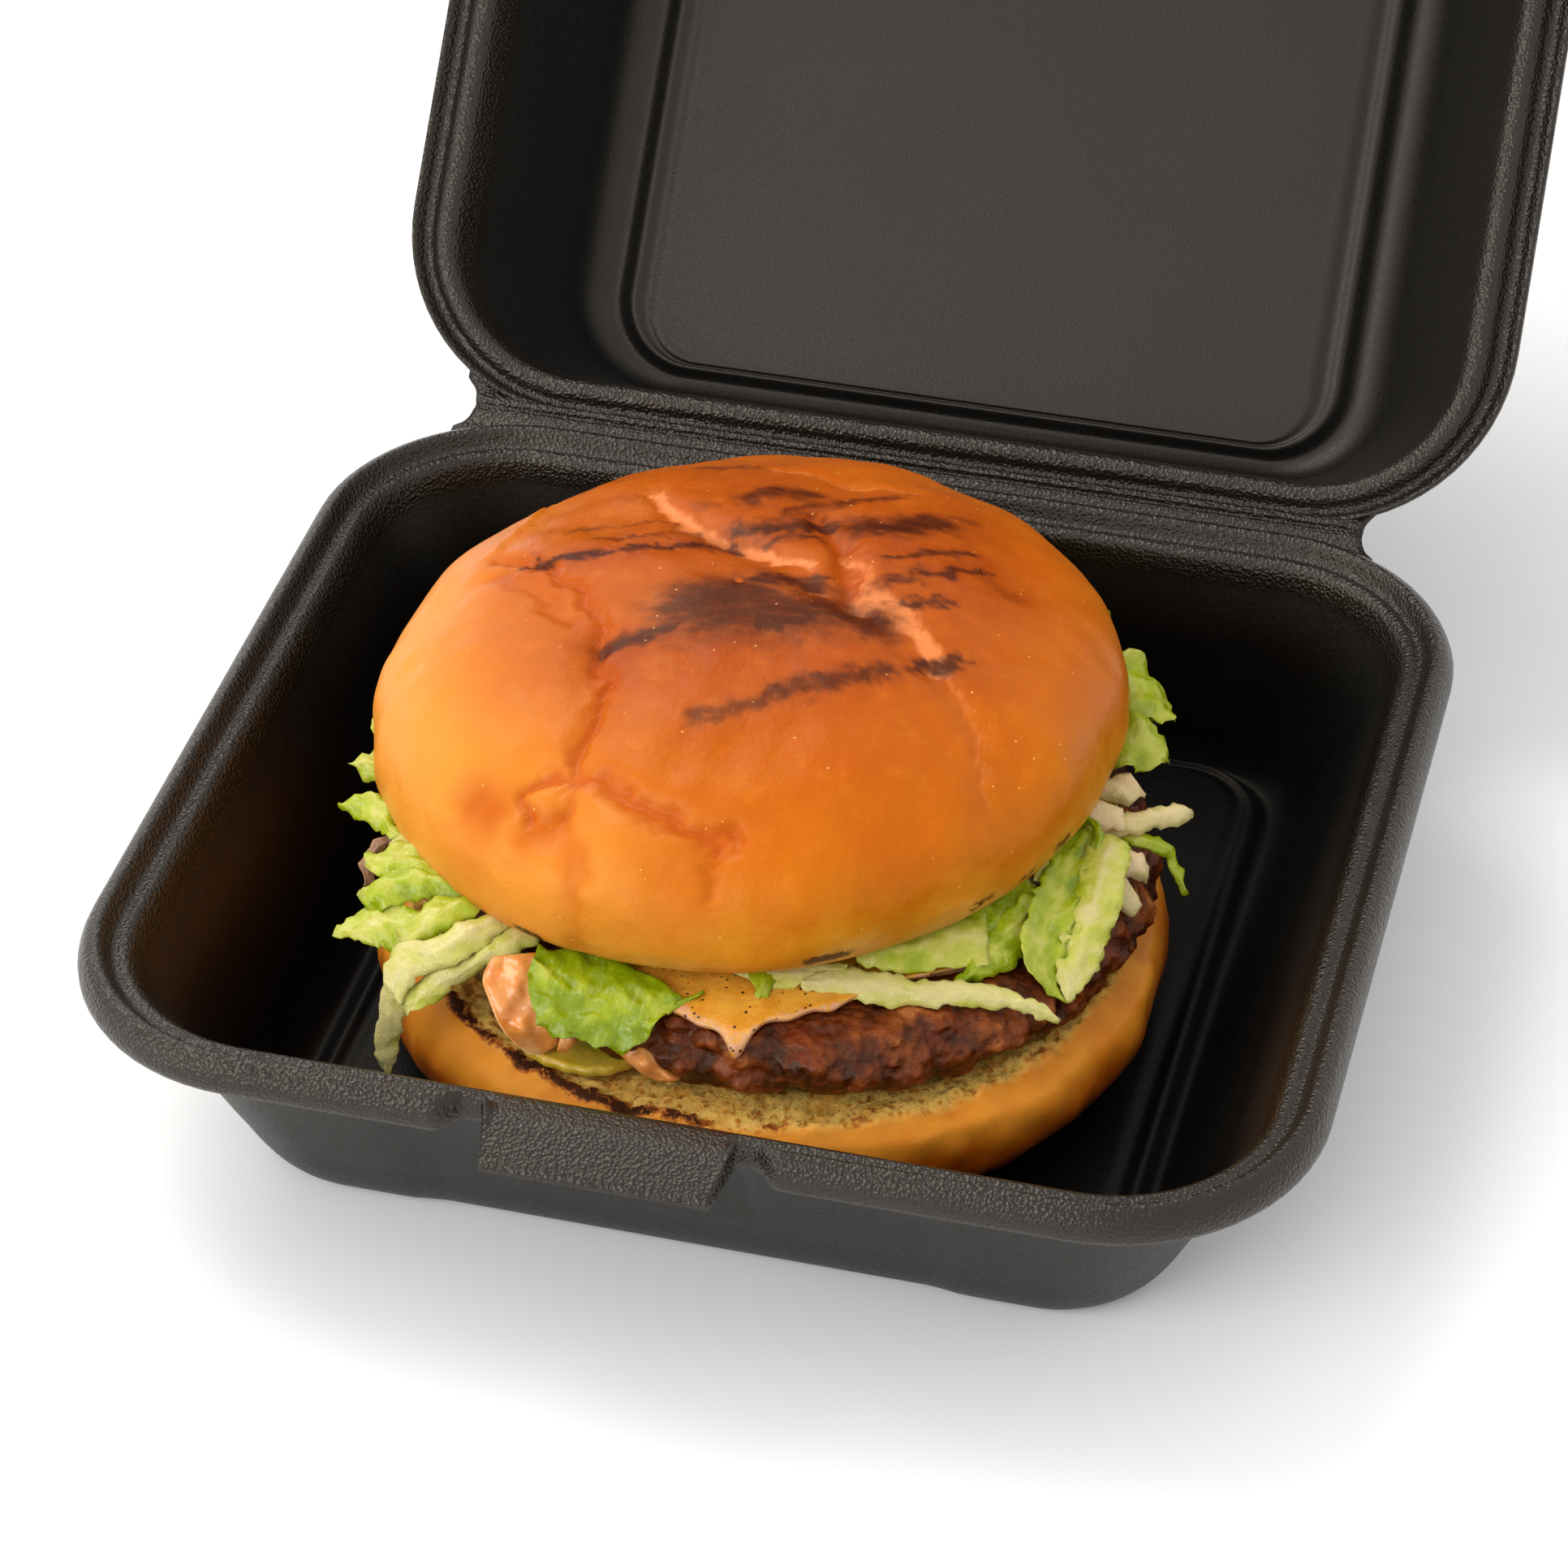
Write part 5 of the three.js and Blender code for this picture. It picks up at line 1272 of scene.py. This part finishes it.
LEAVES = [
    leaf("ribbon_fold", (0.8, 0.9), 1.2, 0.3,
         [(-28, -30.4, 33.3), (-31.9, -34.7, 33.2), (-34.7, -36.4, 32), (-38.3, -36.3, 30.8),
          (-39.3, -38.6, 29.6), (-39, -41, 28)],
         [(-24.8, -31.1, 32.5), (-28.1, -36.5, 32), (-30.8, -39.3, 31), (-33.5, -40, 30),
          (-35.5, -41.2, 28.5), (-36.4, -43, 26.8)]),
    leaf("ribbon_low", (0.7, 0.75), 0.8, 0.3,
         [(-24.8, -31.1, 32.5), (-28.3, -35.9, 31.5), (-31, -38.8, 30.5), (-33.7, -39.5, 29.5),
          (-35.8, -40.7, 28), (-36.8, -42.2, 27)],
         [(-21.3, -31.9, 31.5), (-24.5, -35.6, 30.5), (-28.3, -38.1, 29.5), (-30.5, -39.8, 28),
          (-32.2, -41.7, 26.8), (-35.4, -43.2, 25.5)]),
    leaf("hanging_tip", (0.95, 1), 0.6, 0.25,
         [(-39.1, -40.4, 28.2), (-39.5, -41.4, 24.5), (-40.3, -42.1, 20), (-39.8, -42.7, 17),
          (-38.8, -43, 14.8)],
         [(-35.9, -42.3, 26), (-36.3, -42.2, 23), (-37.4, -42, 19), (-37.9, -42.7, 16.5),
          (-38.6, -42.9, 14.8)], root=False),
    leaf("left_point", (0.35, 0.5), 1, 0.5,
         [(-37.2, -30.9, 32), (-42.1, -30, 31), (-45.3, -31.2, 30.3), (-47.4, -35.1, 29)],
         [(-34.6, -35.8, 30.5), (-38, -36.5, 29), (-43.4, -35.2, 28.8), (-47.3, -35.3, 28.9)]),
    leaf("left_yellow", (0.3, 0.45), 1.4, 0.6,
         [(-31.7, -28.4, 33), (-36, -30.9, 33.3), (-37.3, -34.4, 32), (-38.9, -35.2, 31)],
         [(-28.9, -31, 33), (-31.9, -34.3, 33), (-34.5, -36.2, 31.5), (-37.4, -37, 30)]),
    leaf("left_fold_low", (0.1, 0.35), 1.6, 0.9,
         [(-34.1, -27.4, 33), (-38.6, -26.1, 33.8), (-43.5, -26.9, 33), (-45.6, -30.4, 31.5)],
         [(-31.8, -29.7, 33), (-37.3, -30.2, 33), (-41, -31.9, 32), (-43.6, -31.9, 31)]),
    leaf("left_fold_high", (0.15, 0.5), 1.5, 0.9,
         [(-36.2, -24.6, 33.5), (-41.3, -22.4, 34.4), (-44.1, -23.5, 34), (-46.4, -24.5, 33)],
         [(-34.1, -27.4, 33), (-38, -28.1, 33.4), (-42.1, -28.2, 33), (-45.7, -26.2, 32.6)]),
    leaf("left_white", (1, 0.9), 0.8, 0.4,
         [(-39.6, -22.7, 34), (-42.3, -20.9, 34.6), (-43.9, -22.3, 34.6)],
         [(-37.9, -24.8, 33.6), (-41.2, -24.3, 34), (-43.5, -24.4, 34)]),
    leaf("left_tip_low", (0, 0.5), 0.9, 0.5,
         [(-43.6, -19.9, 34), (-46.3, -15.6, 34.6), (-50.6, -14.8, 34.2), (-52.8, -15.9, 33.5)],
         [(-42, -22, 33.5), (-45.9, -19.7, 33.2), (-49.8, -17.6, 33), (-52.8, -16.1, 33.3)]),
    leaf("left_tip_middle", (0.3, 0.6), 0.8, 0.6,
         [(-47.2, -3.5, 34), (-50.2, -4.5, 35), (-51.4, -7.5, 35), (-53.6, -9.1, 34.4)],
         [(-44.4, -12.8, 33.6), (-47.1, -12.4, 34.4), (-50.3, -10.9, 34), (-53.5, -9.3, 34.3)]),
    leaf("left_tip_high", (0.2, 0.5), 0.6, 0.4,
         [(-49, 2, 34.5), (-52.3, 1.9, 35.6), (-52.9, -1.2, 35.8), (-52.8, -2.5, 35.4)],
         [(-47, -3.7, 34), (-50, -3.7, 35), (-51.4, -4, 35), (-52.7, -2.9, 35.2)]),
    leaf("onion_sliver", (1, 1), 0.3, 0.2,
         [(-44, -18, 32.6), (-46.7, -20, 32), (-47.9, -21.8, 30), (-47.3, -23.7, 27.5)],
         [(-42.4, -18.6, 31.6), (-45.4, -20, 31), (-46.3, -21.8, 29), (-46.1, -22.8, 27)], red=1),
    leaf("right_top", (0.2, 0.45), 1, 0.8,
         [(35.4, 24, 33), (37.7, 24, 34), (39.1, 24.6, 34.6), (42.6, 23.4, 34), (44.6, 19.5, 32)],
         [(35, 15, 32.4), (39, 14.6, 33), (40.1, 14.4, 33), (42.2, 17.4, 32), (44.2, 19.3, 31.6)]),
    leaf("right_chunk", (0.9, 1), 1, 0.5,
         [(35, 12.4, 32.6), (37.7, 11.9, 33.5), (40.7, 12.4, 34), (43.2, 11, 33)],
         [(36, 8, 32), (38.6, 8.7, 33), (41.2, 9, 32.6), (43.1, 10.4, 32.4)], thick=1.4, sauced=0.8),
    leaf("right_finger", (0.9, 1), 0.6, 0.3,
         [(39, 6, 33), (42.8, 7.3, 33), (45.6, 9.3, 33), (48.3, 11.3, 32), (49.2, 11, 31)],
         [(39.8, 3.4, 32), (43.7, 4.3, 31.8), (46.2, 6.9, 31.6), (48.5, 8.6, 31),
          (49.2, 10.4, 30.8)], thick=1.5, sauced=0.5),
    leaf("right_tail", (0.2, 0.3), 0.3, 0.2,
         [(42, 5.6, 31.4), (45.7, 5.6, 31), (47.7, 5.8, 30), (48.3, 5.1, 28.6), (50.8, 2.5, 25.5)],
         [(42, 3.4, 30.8), (46.3, 3, 30), (47.3, 3.8, 29.2), (47.9, 3.1, 28),
          (50.3, 2, 25.3)], thick=0.8),
    leaf("right_lump_high", (1, 1), 0.8, 0.4,
         [(35, 6.4, 33.4), (38.4, 6.8, 34.2), (41.4, 6, 33.6)],
         [(35.6, 2.4, 33), (39.2, 2.8, 33.2), (42.4, 3.4, 32.4)], thick=1.8, sauced=0.9),
    leaf("right_lump_low", (1, 1), 0.8, 0.4,
         [(39, 1, 32.4), (43, 1.2, 32.2), (46, 0, 30.8)],
         [(39.4, -3, 31.8), (43.4, -2.8, 31), (46.2, -2, 29.6)], thick=1.8, sauced=0.9),
    leaf("right_lump_drop", (1, 1), 0.6, 0.3,
         [(40, -3.6, 31.4), (43.6, -3.4, 30.6), (46.4, -5.4, 29)],
         [(40.2, -7.2, 30.6), (43.4, -7.6, 29.4), (45.6, -7.4, 28.4)], thick=1.8, sauced=0.9),
    leaf("right_curl", (0.1, 0.05), 0.8, 0.3,
         [(36.1, 2.3, 35), (37.6, 2.4, 35.6), (40.6, -0.4, 35), (40.5, -3.8, 33.5), (39.3, -7.9, 32)],
         [(37, 0.7, 34.6), (38.3, 1.3, 34.8), (39.3, -1.9, 34.4), (38.5, -6.4, 33.4),
          (38.2, -7.8, 32.2)]),
    leaf("right_big_inner", (0.05, 0.45), -1.2, 0.4,
         [(36.2, 2.2, 34.6), (35, -4, 34.8), (34.6, -11, 34.6), (34.4, -16.6, 34.2),
          (34.4, -19.8, 33.6), (35.2, -22.6, 32.6), (37.2, -24, 30.6), (40.6, -23.9, 27.7)],
         [(39.6, 0.6, 34.4), (39.6, -4.6, 34.2), (39.8, -9.4, 33.4), (39.8, -13.9, 32.6),
          (39.6, -17.3, 31.6), (39.6, -20, 30.4), (39.9, -22, 29.2), (41, -23.8, 27.5)]),
    leaf("right_big_outer", (0.5, 0.8), 0.8, 0.35,
         [(38.6, 0.6, 34.2), (38.5, -4.6, 34), (38.6, -9.4, 33.3), (38.6, -13.9, 32.5),
          (38.5, -17.3, 31.5), (38.8, -20, 30.3), (39.5, -22, 29.1), (41, -23.8, 27.5)],
         [(44, -1.6, 34.6), (44.4, -5.4, 34), (44.6, -9.6, 32.9), (44.3, -13.6, 31.6),
          (43.9, -17.1, 30.2), (43.2, -20, 28.8), (42.4, -22.2, 28), (41.2, -23.8, 27.5)]),
    leaf("right_pointed", (0.35, 0.1), 0.8, 0.3,
         [(34, -10.7, 34), (32.9, -13.5, 34), (29.3, -19.8, 32.8), (28.8, -24.7, 31.5),
          (25.9, -29.2, 29.4)],
         [(36.3, -13.9, 32.5), (34.4, -15.3, 32), (34.7, -20.6, 30.5), (31, -25.1, 30),
          (25.9, -29.1, 29.2)]),
    leaf("right_flat", (0.5, 0.6), 1.2, 0.3,
         [(15.2, -26, 33.2), (20.4, -22.9, 33.6), (25, -19.3, 34), (29.5, -17.3, 34)],
         [(16.4, -28.3, 32), (20.7, -28, 31.6), (27.1, -25.7, 31.4), (31.6, -23.9, 31.4)], root=False),
    leaf("long_shred", (0.85, 0.9), 0.8, 0.2,
         [(10.7, -32, 31.8), (15, -29.3, 32.2), (24.1, -28.5, 31.6), (31.9, -27.1, 31.2),
          (38.6, -27.1, 29.8), (41.2, -27.5, 28.4)],
         [(10.6, -33.4, 31.4), (16.6, -32.9, 30.2), (24.8, -31.4, 29.8), (32.1, -29.6, 29.8),
          (36.3, -28.6, 29.2), (41, -28.4, 28)], root=False),
    leaf("front_strip", (0.8, 0.8), 0.5, 0.2,
         [(1.6, -31.3, 32.2), (7.4, -30.5, 32.2), (15.4, -28.7, 32.4)],
         [(2.7, -33.5, 31.8), (9.1, -33.4, 31), (15.3, -30.3, 31.8)], root=False),
    leaf("right_small", (0.5, 0.6), 0.4, 0.2,
         [(33.7, -5, 34.4), (33.2, -7.2, 34.4), (33.4, -10.2, 34)],
         [(35, -4.9, 34.4), (35, -7.6, 34.2), (34.8, -9.8, 33.6)]),
    leaf("right_deep", (0, 0.1), 0.6, 0.4,
         [(23.1, -15.6, 34), (27.1, -13.3, 34.2), (32, -8.4, 34.5)],
         [(25.5, -21.2, 33.2), (30.2, -19.9, 33), (34.4, -12.3, 33.6)], root=False),
    leaf("front_green", (0, 0), 1.4, 0.9,
         [(-21.3, -34.6, 32.2), (-15.6, -34, 32.3), (-10.4, -35, 32.3), (-5.6, -36.8, 32),
          (-2.4, -38.6, 31.5)],
         [(-21.4, -40.1, 31.6), (-18.6, -44.6, 29.6), (-15.4, -46, 28.2), (-11, -45.6, 28.2),
          (-7.1, -45.4, 27.8), (-3.6, -41.4, 30)], across=True, root=False),
    leaf("front_tail", (0.05, 0.1), 0.3, 0.4,
         [(-8.3, -38.2, 31.4), (-6.3, -39, 31.4), (-3, -38.5, 31.2), (-0.2, -36.7, 31.2)],
         [(-6.5, -43.5, 28), (-5.1, -41.5, 29.6), (-2.2, -39.4, 30.6), (-0.1, -37.1, 31)], root=False),
    leaf("front_shred", (0.3, 0.2), 0.3, 0.2,
         [(3.4, -31.5, 32), (4.8, -33.6, 31.9), (6, -36, 30.9)],
         [(7, -31.1, 32), (7.6, -32.5, 31.8), (6.6, -36.4, 30.7)]),
    leaf("back_left", (0.2, 0.4), 1.2, 1.4,
         [(-35, 36, 32), (-40, 46, 32), (-37, 53, 28.5)],
         [(-20, 42, 32), (-23, 51, 32), (-31, 54, 28)]),
    leaf("back_middle", (0.3, 0.5), 1.2, 1.4,
         [(-13, 43, 32), (-14, 52, 32), (-9, 57, 29)], [(5, 43, 32), (5, 52, 32), (-3, 57, 28.5)]),
    leaf("back_right", (0.1, 0.4), 1.2, 1.4,
         [(9, 41, 32), (12, 50, 32), (22, 53, 29)], [(25, 37, 32), (30, 45, 32), (29, 50, 28)]),
    leaf("far_left", (0.3, 0.4), 1, 1.2,
         [(-38, 28, 32), (-46, 29, 33), (-54, 27, 31)], [(-39, 12, 32), (-47, 14, 33), (-54, 22, 31)]),
    leaf("far_right", (0.1, 0.4), 1, 1.2,
         [(28, 36, 32), (36, 38, 32.5), (41, 36, 30)], [(33, 24, 32), (41, 25, 32.5), (43, 30, 30)]),
]


def rooted(line):
    """An edge line that starts ROOT_LENGTH further in, under the crown."""
    x, y, z = line[0]
    inward = CENTRE - np.array([x, y, 0])
    inward *= ROOT_LENGTH / np.linalg.norm(inward)
    return [(x + inward[0], y + inward[1], min(z, ROOT_HIGHEST)), *line]


def leaf_middle(shape):
    """The leaf's middle sheet, with u along it, v across it and its length."""
    a, b = shape["a"], shape["b"]
    if shape["root"]:
        a, b = rooted(a), rooted(b)
    length = sum(math.dist(p, q) for p, q in zip(a[:-1], a[1:]))
    width = max(math.dist(p, q) for p, q in zip(a, b[:len(a)] + [b[-1]] * len(a)))
    steps, across = max(14, int(length / LEAF_CELL)), max(10, int(width / LEAF_CELL))
    v, u = np.meshgrid(np.linspace(-1, 1, across + 1), np.linspace(0, 1, steps + 1))
    left, right = spline(a, steps + 1)[:, None], spline(b, steps + 1)[:, None]
    middle = left * (1 - v[..., None]) / 2 + right * (1 + v[..., None]) / 2
    return middle, u, v, length


def leaf_surface(shape, seed):
    """Both faces of a thin ruffled leaf between its two edge lines."""
    middle, u, v, length = leaf_middle(shape)
    flow, side = np.gradient(middle, axis=0), np.gradient(middle, axis=1)
    normal = np.cross(flow, side)
    normal /= np.linalg.norm(normal, axis=2)[..., None] + TINY
    normal *= np.where(normal @ np.array(LEAF_UPWARD) < 0, -1, 1)[..., None]

    def crumple(size, offset):
        return waves(middle.reshape(-1, 3), size, seed + offset).reshape(u.shape)

    crinkle, wave = crumple(2.6, 0), crumple(4.5, 100)
    torn, fine = crumple(1.6, 200), crumple(1.3, 300)
    edge = np.abs(v) ** 1.6
    if shape["across"]:
        edge = np.maximum(edge * (v > 0), 0.25 * np.abs(v))
    bend = 0.12 * crinkle
    rib = bell(v, -bend, 0.13)
    branch = np.cos((u * length / BRANCH_GAP + np.abs(v + bend) * 0.9) * TAU)
    branch = np.clip(branch, 0, 1) ** 4 * (1 - rib) * (1 - 0.5 * np.abs(v))
    lift = 0.6 * shape["bulge"] * (1 - v**2) * np.sin(np.pi * np.clip(u, 0.02, 0.98)) ** 0.5
    lift += shape["ruffle"] * (edge * wave + 0.28 * crinkle)
    lift += 0.28 * rib * (1 - 0.6 * u) + 0.13 * branch + 0.05 * fine
    ragged = (0.2 + 0.28 * shape["ruffle"]) * torn
    sideways = side / (np.linalg.norm(side, axis=2)[..., None] + TINY)
    middle = middle + sideways * (ragged * edge * np.sign(v))[..., None]
    taper = np.sqrt(np.clip(1.02 - np.abs(v) ** 3, 0.05, 1))
    taper *= np.sqrt(np.clip(1.05 - u**6, 0.05, 1))
    half = shape["thick"] / 2
    top = middle + normal * (lift + half * taper)[..., None]
    bottom = middle + normal * (lift - half * taper)[..., None]
    points = np.concatenate([top.reshape(-1, 3), bottom.reshape(-1, 3)])
    root_pale, tip_pale = shape["pale"]
    pale = root_pale * (1 - u) + tip_pale * u + 0.12 * wave - 0.1 * edge
    pale += 0.35 * rib * (1 - 0.5 * u) + 0.22 * branch
    return points, sheet_faces(u.shape[0] - 1, u.shape[1] - 1), np.tile(pale.ravel(), 2)


def build_lettuce():
    material = lettuce_material()
    build_lettuce_bed(material)
    for number, shape in enumerate(LEAVES):
        points, faces, pale = leaf_surface(shape, 50 + number)
        obj = add_mesh("leaf_" + shape["name"], points, faces, material, "tray")
        paint_lettuce(obj, pale, shape["sauced"], shape["red"])


def paint_lettuce(obj, pale, sauced, red):
    everywhere = np.ones(len(pale))
    paint(obj, "pale", pale)
    paint(obj, "sauced", sauced * everywhere)
    paint(obj, "red", red * everywhere)


def build_lettuce_bed(material):
    """The heap of lettuce under the crown, of which only the uneven rim shows."""
    angle = angles(BED_AROUND)
    front = bell((np.degrees(angle) - 100) % 360, 180, 55)
    reach = 40.5 - 7.5 * front + 1.3 * ripple(angle, 3, 7, 6) + 0.9 * ripple(angle, 8, 23, 6)
    points = np.concatenate([circle(reach * part, angle, z) for part, z in BED_SECTION])
    rim = smoothstep(off_axis(points), 24, 34)
    points[:, 2] += 0.45 * waves(points, 3.4, 61) * rim
    points[:, :2] *= (1 + 0.018 * waves(points, 3.0, 62) * rim)[:, None]
    body = end_points(points, BED_SECTION[0][1], BED_SECTION[-1][1]) + CENTRE
    obj = add_food("lettuce_bed", body, BED_AROUND, material, "lettuce")
    paint_lettuce(obj, 0.35 + 0.35 * waves(body, 5, 63), 0.25 + 0.3 * waves(body, 9, 65), 0)


def lettuce_material():
    p = Paint("lettuce_leaf", 0.34, Specular_IOR_Level=0.35, Subsurface_Weight=0.15,
              Subsurface_Scale=0.001)
    p.shader.inputs["Subsurface Radius"].default_value = (0.8, 1.0, 0.2)
    tone = p.math("ADD", p.attribute("pale"), p.uneven(-0.14, 0.14, 3.2, 3))
    base = p.ramp(tone, [(0.0, srgb(122, 142, 3)), (0.3, srgb(156, 170, 22)),
                         (0.6, srgb(184, 184, 74)), (1.0, srgb(202, 190, 126))])
    ribs = p.noise(1.0, 2, vector=p.stretched(1, 0.25, 1, 30))
    base = p.mix(p.span(ribs, 0.55, 0.72, 0, 0.3), base, srgb(204, 206, 116))
    sauced = p.times(p.attribute("sauced"), p.span(p.noise(2.6, 3), 0.35, 0.6, 0.2, 0.8))
    base = p.mix(sauced, base, srgb(232, 196, 158))
    base = p.mix(p.times(p.attribute("red"), 0.75), base, srgb(140, 72, 66))
    p.colour(base)
    p.rough(p.uneven(0.2, 0.36, 1.6, 3))
    p.bump((p.noise(1.9, 3), 0.3), (ribs, 0.12), (p.noise(0.5, 2), 0.04))
    return p.material


build_camera()
build_stage()
build_box()
build_patty()
build_cheese()
build_sauce()
build_pickle()
build_lettuce()
build_crown()
build_lower_bun()
